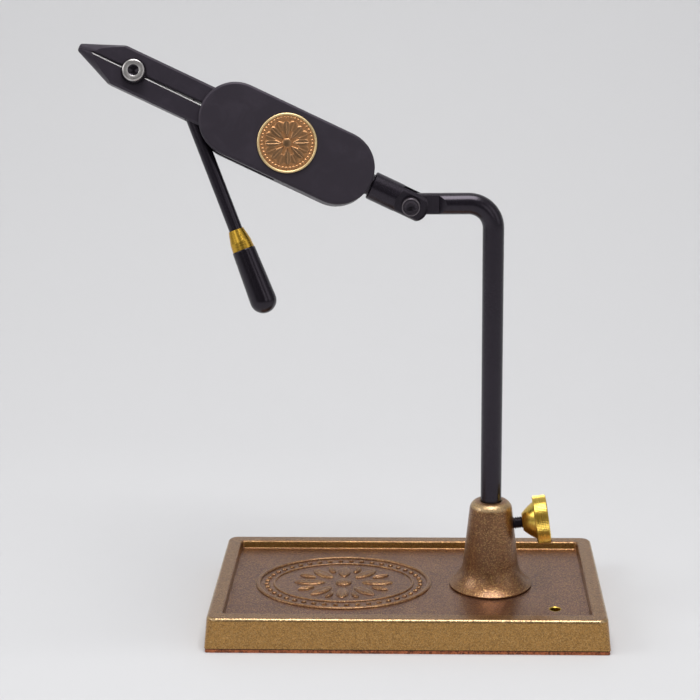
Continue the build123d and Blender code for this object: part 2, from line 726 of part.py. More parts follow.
def jaw_blank(side, inner_chamfer):
    """A jaw bar above (side 1) or below (side -1) the parting line, with its nose, pin hole and seats."""
    with BuildPart() as jaw:
        with BuildSketch(head_layer(0)):
            with BuildLine():
                Polyline(
                    (jaw_tail, side * jaw_gap(jaw_tail)),
                    (jaw_tip, side * jaw_gap(jaw_tip)),
                    (jaw_tip, side * jaw_height),
                    (jaw_tail, side * jaw_height),
                    close=True,
                )
            make_face()
        extrude(amount=jaw_thickness / 2, both=True)
        outer_face = jaw.faces().sort_by(Axis(pivot, head_plane.y_dir * side))[-1]
        chamfer(outer_face.edges().filter_by(head_axis), jaw_edge_chamfer)
        inner_face = jaw.faces().sort_by(Axis(pivot, head_plane.y_dir * side))[0]
        chamfer(inner_face.edges().sort_by(SortBy.LENGTH)[-2:], inner_chamfer)
        with BuildSketch(head_layer(0)) as nose:
            with BuildLine():
                Polyline(
                    (jaw_tail, 0),
                    (jaw_tail, nose_blank_radius),
                    (nose_blank_end, nose_blank_radius),
                    (jaw_tip, jaw_nose_tip_radius),
                    (jaw_tip, 0),
                    close=True,
                )
            make_face()
            tip_corner = nose.vertices().sort_by_distance((jaw_tip, jaw_nose_tip_radius, 0))[0]
            fillet(tip_corner, jaw_nose_tip_round)
        revolve(axis=head_axis, mode=Mode.INTERSECT)
        with BuildSketch(head_layer(0)):
            with Locations((jaw_pin_station, side * jaw_pin_offset)):
                Circle(jaw_pin_radius + running_clearance)
            with Locations((jaw_screw_station, 0)):
                Circle(jaw_screw_radius + jaw_screw_room)
        extrude(amount=jaw_thickness, both=True, mode=Mode.SUBTRACT)
        with BuildSketch(head_layer(0)):
            with Locations((cam_station, 0)):
                Rectangle(2 * (cam_radius + cam_end_room), 2 * (cam_half_flat + cam_room))
        extrude(amount=cam_half_length + lever_side_room, both=True, mode=Mode.SUBTRACT)
    return jaw.part


# Upper jaw
with BuildPart() as upper_jaw:
    add(jaw_blank(1, jaw_upper_inner_chamfer))
finish(upper_jaw, "upper_jaw")

# Lower jaw, slotted for the lever from its released to its squeezed position
lever_slot_bottom = jaw_height + cut_overrun
front_edge = lever_radius + lever_end_room
rear_edge = -lever_radius - lever_open_room
with BuildPart() as lower_jaw:
    add(jaw_blank(-1, jaw_lower_inner_chamfer))
    with BuildSketch(head_layer(0)):
        with BuildLine():
            Polyline(
                (lever_edge(lever_rest_deg, front_edge, 0), 0),
                (lever_edge(lever_rest_deg, front_edge, lever_slot_bottom), -lever_slot_bottom),
                (lever_edge(lever_squeezed_deg, rear_edge, lever_slot_bottom), -lever_slot_bottom),
                (lever_edge(lever_squeezed_deg, rear_edge, 0), 0),
                close=True,
            )
        make_face()
    extrude(amount=lever_radius + lever_side_room, both=True, mode=Mode.SUBTRACT)
finish(lower_jaw, "lower_jaw")

# Screw across the parting line, with the washer and the nut that keep the jaws side by side
jaw_washer_seat = jaw_thickness / 2 + running_clearance
jaw_screw_seat = jaw_washer_seat + jaw_washer_thickness
with BuildPart() as jaw_screw:
    with BuildSketch(head_layer(-jaw_screw_seat, jaw_screw_station)):
        Circle(jaw_screw_head_radius)
    extrude(amount=-jaw_screw_head_height)
    chamfer(jaw_screw.faces().sort_by(Axis(pivot, back_direction))[0].edges(), jaw_screw_head_chamfer)
    with BuildSketch(head_layer(-jaw_screw_seat, jaw_screw_station)):
        Circle(jaw_screw_radius)
    extrude(amount=jaw_screw_seat + jaw_washer_seat + jaw_nut_thickness + jaw_screw_tail)
    with BuildSketch(head_layer(-jaw_screw_seat - jaw_screw_head_height, jaw_screw_station)):
        RegularPolygon(jaw_screw_hex_radius, 6)
    extrude(amount=jaw_screw_hex_depth, mode=Mode.SUBTRACT)
finish(jaw_screw, "jaw_screw")

with BuildPart() as jaw_screw_washer:
    with BuildSketch(head_layer(-jaw_washer_seat, jaw_screw_station)):
        Circle(jaw_washer_radius)
        Circle(jaw_screw_radius + running_clearance, mode=Mode.SUBTRACT)
    extrude(amount=-jaw_washer_thickness)
finish(jaw_screw_washer, "jaw_screw_washer")

with BuildPart() as jaw_screw_nut:
    with BuildSketch(head_layer(jaw_washer_seat, jaw_screw_station)):
        RegularPolygon(jaw_nut_radius, 6)
        Circle(jaw_screw_radius + seat_clearance, mode=Mode.SUBTRACT)
    extrude(amount=jaw_nut_thickness)
finish(jaw_screw_nut, "jaw_screw_nut")

# Cam: a barrel with two flats that lie along the jaws while the lever hangs free
with BuildPart() as cam:
    with BuildSketch(head_layer(0, cam_station)):
        Circle(cam_radius)
        Rectangle(2 * cam_radius, 2 * cam_half_flat, mode=Mode.INTERSECT)
    extrude(amount=cam_half_length, both=True)
    with BuildSketch(lever_plane):
        with BuildLine():
            Polyline(
                (-lever_spigot_depth - seat_clearance, 0),
                (-lever_spigot_depth - seat_clearance, lever_spigot_radius + seat_clearance),
                (lever_shoulder, lever_spigot_radius + seat_clearance),
                (lever_shoulder, 0),
                close=True,
            )
        make_face()
    revolve(axis=lever_axis, mode=Mode.SUBTRACT)
finish(cam, "cam")

# Lever: a rod with a spigot in the cam
with BuildPart() as lever_rod:
    with BuildSketch(lever_plane):
        with BuildLine():
            Polyline(
                (-lever_spigot_depth, 0),
                (-lever_spigot_depth, lever_spigot_radius),
                (lever_shoulder, lever_spigot_radius),
                (lever_shoulder, lever_radius),
                (lever_end, lever_radius),
                (lever_end, 0),
                close=True,
            )
        make_face()
    revolve(axis=lever_axis)
finish(lever_rod, "lever_rod")

# Brass ferrule, flared towards the grip
lever_bore_radius = lever_radius + seat_clearance
with BuildPart() as lever_ferrule:
    with BuildSketch(lever_plane):
        with BuildLine():
            Polyline(
                (ferrule_start, lever_bore_radius),
                (ferrule_start, ferrule_small_radius),
                (ferrule_start + ferrule_cone_length, ferrule_shoulder_radius),
                (grip_start, ferrule_large_radius),
                (grip_start, lever_bore_radius),
                close=True,
            )
        make_face()
    revolve(axis=lever_axis)
finish(lever_ferrule, "lever_ferrule")

# Bullet-shaped grip
with BuildPart() as lever_grip:
    with BuildSketch(lever_plane) as bullet:
        with BuildLine():
            Polyline(
                (grip_start, lever_bore_radius),
                (grip_start, grip_neck_radius),
                (grip_end, grip_end_radius),
                (grip_end, 0),
                (lever_end + seat_clearance, 0),
                (lever_end + seat_clearance, lever_bore_radius),
                close=True,
            )
        make_face()
        fillet(bullet.vertices().sort_by_distance((grip_end, grip_end_radius, 0))[0], grip_end_round)
        fillet(bullet.vertices().sort_by_distance((grip_start, grip_neck_radius, 0))[0], grip_neck_round)
    revolve(axis=lever_axis)
finish(lever_grip, "lever_grip")

# How far the cam lifts each jaw where it touches, against how far the jaw moves there
cam_corner_angle = asin(cam_half_flat / cam_radius)
cam_lift = cam_radius * sin(cam_corner_angle + radians(lever_squeeze_deg)) - cam_half_flat
jaw_lift = (cam_station - jaw_pin_station) * tan(radians(jaw_open_deg))
print("cam lift", round(cam_lift, 3), "jaw lift at the cam", round(jaw_lift, 3))
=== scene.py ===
# %% [markdown]
# A fly tying vise stands on a bench and holds a small hook while thread and feathers are wound on it. The
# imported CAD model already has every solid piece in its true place. So this lesson loads it as a fixed
# frame, gives each finish its own procedural material, and adds the few forms that are finer than the
# solids: struck relief, a screw thread, a knurl and the cast ornament in the tray.

# %% Load the frame
import bpy
import json
from math import cos, floor, hypot, pi, radians, sin
from mathutils import Matrix, Vector


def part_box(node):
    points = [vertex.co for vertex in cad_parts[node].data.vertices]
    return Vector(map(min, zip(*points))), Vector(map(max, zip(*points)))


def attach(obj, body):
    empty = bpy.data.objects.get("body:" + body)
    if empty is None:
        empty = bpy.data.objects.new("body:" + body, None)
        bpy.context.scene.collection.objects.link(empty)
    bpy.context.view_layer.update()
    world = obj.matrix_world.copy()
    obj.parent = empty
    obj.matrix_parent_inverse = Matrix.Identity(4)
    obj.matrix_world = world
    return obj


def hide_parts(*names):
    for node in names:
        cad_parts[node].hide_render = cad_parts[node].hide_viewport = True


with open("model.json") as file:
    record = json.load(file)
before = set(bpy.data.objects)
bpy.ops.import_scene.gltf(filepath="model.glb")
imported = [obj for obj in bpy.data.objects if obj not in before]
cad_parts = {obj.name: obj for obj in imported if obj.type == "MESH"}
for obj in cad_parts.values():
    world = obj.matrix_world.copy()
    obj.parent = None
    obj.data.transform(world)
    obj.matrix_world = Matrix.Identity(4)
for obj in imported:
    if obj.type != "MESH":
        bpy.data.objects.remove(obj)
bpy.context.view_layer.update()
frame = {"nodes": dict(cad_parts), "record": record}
nodes = frame["nodes"]
joints = {joint["name"]: joint for joint in frame["record"]["behaviour"]["joints"]}
mm = 0.001

# %% [markdown]
# Every added piece is placed by the model's own joints and boxes, so it can't drift away from the solids.
# A local frame with its z axis along a screw or out of a disc turns each job into a simple one about z.

# %% Local frames
UPRIGHT = Vector((0, 0, 1))
LEAST_LEAN = 0.01


def local_frame(origin, z_axis):
    """A matrix whose z axis runs along z_axis, with its x axis as level as it can be."""
    z = Vector(z_axis).normalized()
    level = UPRIGHT.cross(z)
    x = level.normalized() if level.length > LEAST_LEAN else Vector((1, 0, 0))
    y = z.cross(x)
    turn = Matrix((x, y, z)).transposed().to_4x4()
    return Matrix.Translation(origin) @ turn


def box_centre(node):
    """The middle of a CAD node's box."""
    low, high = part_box(node)
    return (Vector(low) + Vector(high)) / 2


def along_axis(node, origin, axis):
    """Nearest and farthest reach of a CAD node along an axis from an origin."""
    reach = [(Vector(v.co) - origin).dot(axis) for v in nodes[node].data.vertices]
    return min(reach), max(reach)


head_direction = Vector(joints["head_spin"]["axis"])
head_front = Vector(joints["lever_squeeze"]["axis"])
clamp_direction = Vector(joints["thumbscrew_turn"]["axis"])
clamp_origin = Vector(joints["thumbscrew_turn"]["pos_m"])
tray_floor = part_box("accessory_bush")[1][2]
print("tray floor at", round(tray_floor / mm, 2), "mm")

# %% [markdown]
# Turned pieces are stacks of rings. One helper bridges neighbouring rings with quads and closes both ends
# with a fan, which gives a clean closed mesh for a screw, a thread, a leaf or a struck disc alike.

# %% Mesh helpers
SHARP_ANGLE = radians(38)


def make_object(name, points, faces, place=None):
    """A smooth-shaded object from points and faces, sharp only where faces meet at a clear angle."""
    mesh = bpy.data.meshes.new(name)
    mesh.from_pydata([tuple(place @ Vector(p)) if place else p for p in points], [], faces)
    mesh.polygons.foreach_set("use_smooth", [True] * len(mesh.polygons))
    mesh.set_sharp_from_angle(angle=SHARP_ANGLE)
    mesh.update()
    piece = bpy.data.objects.new(name, mesh)
    bpy.context.scene.collection.objects.link(piece)
    return piece


def stack_rings(rings, first_tip, last_tip):
    """Points and faces of a closed skin: a tip, rings of equal length in order, and another tip."""
    count = len(rings[0])
    points = [first_tip] + [p for ring in rings for p in ring] + [last_tip]
    faces = [(0, 1 + (i + 1) % count, 1 + i) for i in range(count)]
    for k in range(len(rings) - 1):
        near = 1 + k * count
        far = near + count
        for i in range(count):
            j = (i + 1) % count
            faces.append((near + i, near + j, far + j, far + i))
    last = len(points) - 1
    base = 1 + (len(rings) - 1) * count
    faces += [(last, base + i, base + (i + 1) % count) for i in range(count)]
    return points, faces


def finish_piece(piece, body, slot, *replaced):
    """Rides a piece on its body and hides the CAD nodes that it stands for. The argument slot is not used.
    """
    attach(piece, body)
    if replaced:
        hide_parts(*replaced)
    print(piece.name, "has", len(piece.data.vertices), "points and rides on", body)


# %% [markdown]
# Materials come before the pieces, because the pieces need them. Small helpers around the node calls keep
# each recipe short: one makes a node, sets its values and links its inputs, and the others name the few
# kinds of node that most recipes use.

# %% Node helpers
def find_input(node, key):
    """A node's input by its name, with _ for a space, or by its number, as in i0 and i1."""
    if key[0] == "i" and key[1:].isdigit():
        return node.inputs[int(key[1:])]
    return node.inputs[key.replace("_", " ")]


def feed(tree, node, **inputs):
    """Gives a node its inputs, each a value to set or a socket to link."""
    for key, value in inputs.items():
        socket = find_input(node, key)
        if isinstance(value, bpy.types.NodeSocket):
            tree.links.new(value, socket)
        else:
            socket.default_value = value


def add_node(tree, kind, settings=None, **inputs):
    """A node of a kind with these settings and inputs."""
    made = tree.nodes.new(kind)
    for key, value in (settings or {}).items():
        setattr(made, key, value)
    feed(tree, made, **inputs)
    return made


def remap(tree, value, start, end, low=0.0, high=1.0, blend="LINEAR"):
    """Runs from low to high while a value goes from start to end, and stays there beyond."""
    made = add_node(tree, "ShaderNodeMapRange", {"interpolation_type": blend}, Value=value,
                    From_Min=start, From_Max=end, To_Min=low, To_Max=high)
    return made.outputs["Result"]


def calculate(tree, operation, *values):
    """The result of a math node on values or sockets, in order."""
    inputs = {f"i{number}": value for number, value in enumerate(values)}
    return add_node(tree, "ShaderNodeMath", {"operation": operation}, **inputs).outputs[0]


def measure_along(tree, vector, direction):
    """How far a vector socket reaches along a direction."""
    made = add_node(tree, "ShaderNodeVectorMath", {"operation": "DOT_PRODUCT"}, i0=vector,
                    i1=tuple(direction))
    return made.outputs["Value"]


def split_vector(tree, vector):
    """The X, Y and Z sockets of a vector socket."""
    return add_node(tree, "ShaderNodeSeparateXYZ", Vector=vector).outputs


def mix_tones(tree, share, first, second):
    """The output of a colour mix. Each colour is a plain tone or a socket to link."""
    ends = [tone if isinstance(tone, bpy.types.NodeSocket) else (*tone, 1) for tone in (first, second)]
    # A mix node has sockets for every kind of data: inputs 6 and 7 and output 2 are those for colours
    mixed = add_node(tree, "ShaderNodeMix", {"data_type": "RGBA"}, i0=share, i6=ends[0], i7=ends[1])
    return mixed.outputs[2]


# %% [markdown]
# A material starts from the Principled shader, which covers metal, lacquer, rubber and plastic. An effect
# that several finishes share is a node group, so that it is built once and each finish only sets its
# inputs.

# %% Material helpers
def new_group(name, inputs, outputs):
    """An empty shader node group with number inputs, given with defaults, and number outputs."""
    group = bpy.data.node_groups.new(name, "ShaderNodeTree")
    for key, default in inputs.items():
        socket = group.interface.new_socket(key, in_out="INPUT", socket_type="NodeSocketFloat")
        socket.default_value = default
    for key in outputs:
        group.interface.new_socket(key, in_out="OUTPUT", socket_type="NodeSocketFloat")
    return group, group.nodes.new("NodeGroupInput"), group.nodes.new("NodeGroupOutput")


def place_group(tree, group, **values):
    """A copy of a node group in a material, with its own input values."""
    return add_node(tree, "ShaderNodeGroup", {"node_tree": group}, **values)


def new_material(name, **sockets):
    """A material, its tree and its Principled shader, which has these plain values."""
    material = bpy.data.materials.new(name)
    material.use_nodes = True
    tree = material.node_tree
    shader = tree.nodes["Principled BSDF"]
    feed(tree, shader, **sockets)
    return material, tree, shader


def add_bump(tree, shader, height, depth, strength):
    """Lets a height socket bend the light on a surface as if it were that deep."""
    bump = add_node(tree, "ShaderNodeBump", Strength=strength, Distance=depth, Height=height)
    feed(tree, shader, Normal=bump.outputs["Normal"])


# %% [markdown]
# Three effects serve more than one finish. The grain is fine noise that breaks up gloss. The flecks are
# tiny cells, each with its own shade, as in metallic paint and pressed cork. The handling marks are broad
# soft patches where fingers and wiping have changed the tone.

# %% Shared node groups
NOISE_LOW, NOISE_HIGH = 0.3, 0.7
GRAIN_DETAIL, GRAIN_ROUGHNESS = 3.0, 0.6
CELL_REACH = 0.7
MARK_FULL, MARK_DETAIL, MARK_ROUGHNESS, MARK_SWIRL = 0.75, 4.0, 0.65, 0.6


def build_grain():
    """Fine even noise, as a height and as a value spread from Low to High."""
    group, given, out = new_group("fine_grain", {"Scale": 2500.0, "Low": 0.3, "High": 0.45},
                                  ("Height", "Value"))
    coords = add_node(group, "ShaderNodeTexCoord")
    noise = add_node(group, "ShaderNodeTexNoise", Vector=coords.outputs["Object"],
                     Scale=given.outputs["Scale"], Detail=GRAIN_DETAIL, Roughness=GRAIN_ROUGHNESS)
    value = remap(group, noise.outputs["Fac"], NOISE_LOW, NOISE_HIGH, given.outputs["Low"],
                  given.outputs["High"])
    feed(group, out, Height=noise.outputs["Fac"], Value=value)
    return group


def build_flecks():
    """Small cells: a mask of a share of them, the cells' own shade, and their domed height."""
    group, given, out = new_group("cell_flecks", {"Scale": 2000.0, "Share": 0.3},
                                  ("Mask", "Shade", "Height"))
    coords = add_node(group, "ShaderNodeTexCoord")
    cells = add_node(group, "ShaderNodeTexVoronoi", Vector=coords.outputs["Object"],
                     Scale=given.outputs["Scale"], Randomness=1.0)
    shade = add_node(group, "ShaderNodeSeparateColor", Color=cells.outputs["Color"])
    picked = calculate(group, "LESS_THAN", shade.outputs["Red"], given.outputs["Share"])
    height = remap(group, cells.outputs["Distance"], 0.0, CELL_REACH, 1.0, 0.0)
    mask = calculate(group, "MULTIPLY", picked, height)
    feed(group, out, Mask=mask, Shade=shade.outputs["Green"], Height=height)
    return group


def build_marks():
    """Broad soft patches of handling, from none to full."""
    group, given, out = new_group("handling_marks", {"Scale": 60.0, "Reach": 0.5}, ("Mask",))
    coords = add_node(group, "ShaderNodeTexCoord")
    noise = add_node(group, "ShaderNodeTexNoise", Vector=coords.outputs["Object"],
                     Scale=given.outputs["Scale"], Detail=MARK_DETAIL, Roughness=MARK_ROUGHNESS,
                     Distortion=MARK_SWIRL)
    mask = remap(group, noise.outputs["Fac"], given.outputs["Reach"], MARK_FULL, blend="SMOOTHSTEP")
    feed(group, out, Mask=mask)
    return group


grain_group = build_grain()
fleck_group = build_flecks()
mark_group = build_marks()
print("node groups:", [g.name for g in bpy.data.node_groups if g.type == "SHADER"])

# %% [markdown]
# The base and the pedestal are castings with a sprayed hammered bronze coat. Up close it is a brown
# metallic lacquer with gold flecks over a softly pitted skin. One flat colour would look like plastic, so
# the flecks change the colour, and the pits and the grain drive a bump and the gloss.

# %% Flecks and pits
FLECK_TONE = (0.60, 0.37, 0.14)
FLECK_SCALE, FLECK_SHARE = 2100.0, 0.34
SHADE_LOW, SHADE_HIGH, LACQUER_METAL = 0.72, 1.35, 0.86
PIT_SCALE, SKIN_SCALE, GRAIN_SHARE = 1000.0, 1700.0, 0.8
SKIN_DEPTH, SKIN_STRENGTH = 0.14 * mm, 0.5


def add_gold_flecks(tree, shader, colour):
    """Varies a lacquer's shade from cell to cell and sets gold flecks in it, which are pure metal."""
    flecks = place_group(tree, fleck_group, Scale=FLECK_SCALE, Share=FLECK_SHARE)
    shade = remap(tree, flecks.outputs["Shade"], 0.0, 1.0, SHADE_LOW, SHADE_HIGH)
    varied = add_node(tree, "ShaderNodeVectorMath", {"operation": "SCALE"}, i0=colour, Scale=shade)
    gold = mix_tones(tree, flecks.outputs["Mask"], varied.outputs[0], FLECK_TONE)
    metal = remap(tree, flecks.outputs["Mask"], 0.0, 1.0, LACQUER_METAL, 1.0)
    feed(tree, shader, Base_Color=gold, Metallic=metal)


def add_pitted_skin(tree, shader, low, high):
    """Soft pits with grain on them, and a roughness from low to high that follows the grain."""
    pits = place_group(tree, fleck_group, Scale=PIT_SCALE, Share=1.0)
    grain = place_group(tree, grain_group, Scale=SKIN_SCALE, Low=low, High=high)
    skin = calculate(tree, "MULTIPLY_ADD", grain.outputs["Height"], GRAIN_SHARE, pits.outputs["Height"])
    feed(tree, shader, Roughness=grain.outputs["Value"])
    add_bump(tree, shader, skin, SKIN_DEPTH, SKIN_STRENGTH)


# %% [markdown]
# The spray on the base is thicker and more golden on the rim than on its floor. The outer sides and the
# tray's back wall take painted reflected light, which makes them lighter and more golden, and a pale
# painted highlight runs along the upper edges. Masks from each point's place, and from the way its surface
# faces, say where, so nothing has to be painted by hand.

# %% Spray and painted light on the castings
# The side tone is painted reflected light on the outer sides and the tray's back wall, and the pale tone is
# a painted highlight along the upper edges.
RIM_TONE, PAINTED_SIDE_LIGHT_TONE, PAINTED_HIGHLIGHT_TONE = (0.232, 0.116, 0.044), (0.365, 0.190, 0.047), (0.44, 0.300, 0.155)
TRAY_HALF_LENGTH, TRAY_HALF_WIDTH = 82.3 * mm, 43.3 * mm
RIM_BLEND, RIM_MIDDLE, HIGHLIGHT_BLEND = 0.8 * mm, 3.0 * mm, 0.8 * mm
STEEP_FACE, LEVEL_FACE = 0.1, 0.75
BACK_LIGHT_START, BACK_LIGHT_FULL = -0.5, -0.95
SIDE_FACE, EDGE_START, EDGE_END, TOP_FACE = 0.25, 0.5, 0.82, 0.97


def mask_past_tray(tree, coords, start, end):
    """What lies outside the tray's recess, with a soft border from start to end past its walls."""
    spread = add_node(tree, "ShaderNodeVectorMath", {"operation": "ABSOLUTE"}, i0=coords.outputs["Object"])
    place = split_vector(tree, spread.outputs[0])
    past_end = remap(tree, place["X"], TRAY_HALF_LENGTH + start, TRAY_HALF_LENGTH + end)
    past_side = remap(tree, place["Y"], TRAY_HALF_WIDTH + start, TRAY_HALF_WIDTH + end)
    return calculate(tree, "MAXIMUM", past_end, past_side)


def mask_painted_edge_highlight(tree, coords, level):
    """Rounded edges between side and top, above a level, which take a painted highlight."""
    upward = split_vector(tree, coords.outputs["Normal"])["Z"]
    height = split_vector(tree, coords.outputs["Object"])["Z"]
    above_side = remap(tree, upward, SIDE_FACE, EDGE_START)
    below_top = remap(tree, upward, EDGE_END, TOP_FACE, 1.0, 0.0)
    raised = remap(tree, height, level - HIGHLIGHT_BLEND, level + HIGHLIGHT_BLEND)
    return calculate(tree, "MULTIPLY", calculate(tree, "MULTIPLY", above_side, below_top), raised)


def spray_base(tree, coords, lacquer, rim):
    """The lacquer on the tray's floor and the rim's tone, with painted reflected light on the back wall and
    the sides.
    """
    facing = split_vector(tree, coords.outputs["Normal"])
    # Steep faces take a lighter, more golden tone: painted reflected light.
    painted_side_light = remap(tree, facing["Z"], STEEP_FACE, LEVEL_FACE, 1.0, 0.0)
    rim_colour = mix_tones(tree, painted_side_light, RIM_TONE, PAINTED_SIDE_LIGHT_TONE)
    # The tray's back wall, which faces the camera, takes the same painted reflected light.
    painted_back_light = remap(tree, facing["Y"], BACK_LIGHT_START, BACK_LIGHT_FULL)
    tray_colour = mix_tones(tree, painted_back_light, lacquer, PAINTED_SIDE_LIGHT_TONE)
    return mix_tones(tree, rim, tray_colour, rim_colour)


# %% [markdown]
# Both castings share the coat, and only the base has a rim. Its clear coat is thin on the floor and full
# on the rim. The pedestal is a little more golden and rougher, and it has a painted highlight on its
# shoulder.

# %% Hammered bronze
TRAY_TONES, TRAY_ROUGH = ((0.165, 0.079, 0.052), (0.215, 0.106, 0.066)), (0.24, 0.40)
BELL_TONES, BELL_ROUGH = ((0.195, 0.088, 0.036), (0.255, 0.121, 0.048)), (0.33, 0.48)
RIM_LEVEL, SHOULDER_LEVEL = 13.6 * mm, 47.5 * mm
BRONZE_MARK_SCALE, BRONZE_MARK_REACH = 45.0, 0.42
THIN_COAT, FULL_COAT, COAT_ROUGHNESS = 0.22, 0.5, 0.28


def build_hammered_bronze(name, tones, rough, highlight_level, has_rim):
    material, tree, shader = new_material(name, Coat_Weight=FULL_COAT, Coat_Roughness=COAT_ROUGHNESS)
    coords = add_node(tree, "ShaderNodeTexCoord")
    marks = place_group(tree, mark_group, Scale=BRONZE_MARK_SCALE, Reach=BRONZE_MARK_REACH)
    colour = mix_tones(tree, marks.outputs["Mask"], *tones)
    edge_highlight = mask_painted_edge_highlight(tree, coords, highlight_level)
    if has_rim:
        rim = mask_past_tray(tree, coords, -RIM_BLEND, RIM_BLEND)
        colour = spray_base(tree, coords, colour, rim)
        outer_edge = mask_past_tray(tree, coords, RIM_MIDDLE, RIM_MIDDLE + RIM_BLEND)
        edge_highlight = calculate(tree, "MULTIPLY", edge_highlight, outer_edge)
        feed(tree, shader, Coat_Weight=remap(tree, rim, 0.0, 1.0, THIN_COAT, FULL_COAT))
    # The pale painted highlight goes into the colour along the upper edges.
    add_gold_flecks(tree, shader, mix_tones(tree, edge_highlight, colour, PAINTED_HIGHLIGHT_TONE))
    add_pitted_skin(tree, shader, *rough)
    return material


base_bronze = build_hammered_bronze("hammered_bronze", TRAY_TONES, TRAY_ROUGH, RIM_LEVEL, has_rim=True)
pedestal_bronze = build_hammered_bronze("hammered_bronze_pedestal", BELL_TONES, BELL_ROUGH,
                                        SHOULDER_LEVEL, has_rim=False)
print("bronze coats:", base_bronze.name, pedestal_bronze.name)

# %% [markdown]
# The stem, the jaws and the screws are steel with a black oxide skin, the head is black anodised
# aluminium, and the grip is gloss black. All are near black with a trace of plum in their sheen. What
# tells them apart is gloss and grain, so one recipe takes those from the call.

# %% Black finishes
PLUM_SHEEN, WIPED_GAIN = (0.95, 0.84, 1.0, 1), 1.35
BLACK_MARK_SCALE, BLACK_MARK_REACH, BLACK_BUMP = 90.0, 0.45, 0.35
SMOOTH, SATIN, DULL, GLOSSY = (0.20, 0.30), (0.32, 0.44), (0.40, 0.54), (0.16, 0.24)
STEEL_GRAIN, SHELL_GRAIN, GRIP_GRAIN = 3200.0, 4200.0, 900.0
OXIDE_TONE, JAW_TONE = (0.0064, 0.0050, 0.0078), (0.0255, 0.0215, 0.0285)
ANODISED_TONE, GRIP_TONE = (0.0220, 0.0182, 0.0243), (0.0060, 0.0048, 0.0070)
# The second tone of this line is a lighter black, a painted highlight on the knurled screw's rim.
SCREW_TONE, RIM_HIGHLIGHT_TONE = (0.014, 0.0115, 0.014), (0.075, 0.066, 0.070)


def build_black(name, tone, rough, grain_scale, depth, sheen):
    material, tree, shader = new_material(name, Specular_Tint=PLUM_SHEEN, Specular_IOR_Level=sheen)
    marks = place_group(tree, mark_group, Scale=BLACK_MARK_SCALE, Reach=BLACK_MARK_REACH)
    grain = place_group(tree, grain_group, Scale=grain_scale, Low=rough[0], High=rough[1])
    colour = mix_tones(tree, marks.outputs["Mask"], tone, [c * WIPED_GAIN for c in tone])
    feed(tree, shader, Base_Color=colour, Roughness=grain.outputs["Value"])
    add_bump(tree, shader, grain.outputs["Height"], depth, BLACK_BUMP)
    return material


black_oxide = build_black("black_oxide", OXIDE_TONE, SMOOTH, STEEL_GRAIN, depth=0.012 * mm, sheen=0.46)
black_jaw = build_black("black_jaw", JAW_TONE, SATIN, STEEL_GRAIN, depth=0.015 * mm, sheen=0.35)
# A copy of the jaw black that takes a painted highlight on its bevel.
highlit_lower_jaw = build_black("highlit_lower_jaw", JAW_TONE, SATIN, STEEL_GRAIN, depth=0.015 * mm, sheen=0.35)
black_anodised = build_black("black_anodised", ANODISED_TONE, DULL, SHELL_GRAIN, depth=0.02 * mm, sheen=0.4)
screw_black = build_black("screw_black", SCREW_TONE, SMOOTH, STEEL_GRAIN, depth=0.01 * mm, sheen=0.6)
# A lighter copy of the screw black: a painted highlight on the knurled screw's rim.
rim_highlight_black = build_black("rim_highlight_black", RIM_HIGHLIGHT_TONE, SMOOTH, STEEL_GRAIN, depth=0.01 * mm, sheen=0.8)
gloss_black = build_black("gloss_black", GRIP_TONE, GLOSSY, GRIP_GRAIN, depth=0.006 * mm, sheen=0.42)
print("black finishes:", black_oxide.name, black_jaw.name, black_anodised.name, gloss_black.name)

# %% [markdown]
# A narrow bevel runs along the lower jaw where the two jaws meet. A painted highlight of bright steel makes
# it show as a bright line. A mask of the faces that look up and forward at once picks it out.

# %% Painted highlight on the lower jaw's bevel
JAW_HIGHLIGHT_STEEL = (0.62, 0.61, 0.60)
JAW_HIGHLIGHT_START, JAW_HIGHLIGHT_FULL = 0.95, 0.99


def add_painted_jaw_highlight(material, direction):
    """Paints a highlight of bright steel on the faces that look along a direction."""
    tree = material.node_tree
    shader = tree.nodes["Principled BSDF"]
    coords = add_node(tree, "ShaderNodeTexCoord")
    facing = measure_along(tree, coords.outputs["Normal"], direction.normalized())
    mask = remap(tree, facing, JAW_HIGHLIGHT_START, JAW_HIGHLIGHT_FULL)
    black = shader.inputs["Base Color"].links[0].from_socket
    feed(tree, shader, Base_Color=mix_tones(tree, mask, black, JAW_HIGHLIGHT_STEEL), Metallic=mask)


jaw_upward = head_direction.cross(head_front).normalized()
if jaw_upward.z < 0:
    jaw_upward = -jaw_upward
add_painted_jaw_highlight(highlit_lower_jaw, head_front + jaw_upward)
# The bright steel on the lower jaw's bevel is a painted highlight.
print("bare edge on:", highlit_lower_jaw.name)

# %% [markdown]
# The brass and steel fittings are turned on a lathe and polished. What makes polished metal read as metal
# is a slight change of roughness from one tool mark to the next. Noise in one dimension, along each
# piece's own axis, gives those rings, and broad soft patches of tarnish go on top.

# %% Turned metals
LINE_DETAIL, LINE_ROUGHNESS, LINE_DEPTH, LINE_STRENGTH = 2.0, 0.7, 0.01 * mm, 0.2
TARNISH_SCALE, TARNISH_REACH = 140.0, 0.48
FINE_LINES, COARSE_LINES = 5200.0, 4200.0
BRIGHT, POLISHED, BRUSHED = (0.22, 0.33), (0.2, 0.32), (0.24, 0.36)
BRASS, BRASS_TARNISH = (0.79, 0.55, 0.115), (0.64, 0.41, 0.068)
RED_BRASS, RED_TARNISH = (0.64, 0.385, 0.052), (0.51, 0.29, 0.036)
STAINLESS, STAINLESS_TARNISH = (0.60, 0.575, 0.565), (0.47, 0.45, 0.44)
STEEL, STEEL_TARNISH = (0.52, 0.51, 0.5), (0.4, 0.39, 0.38)


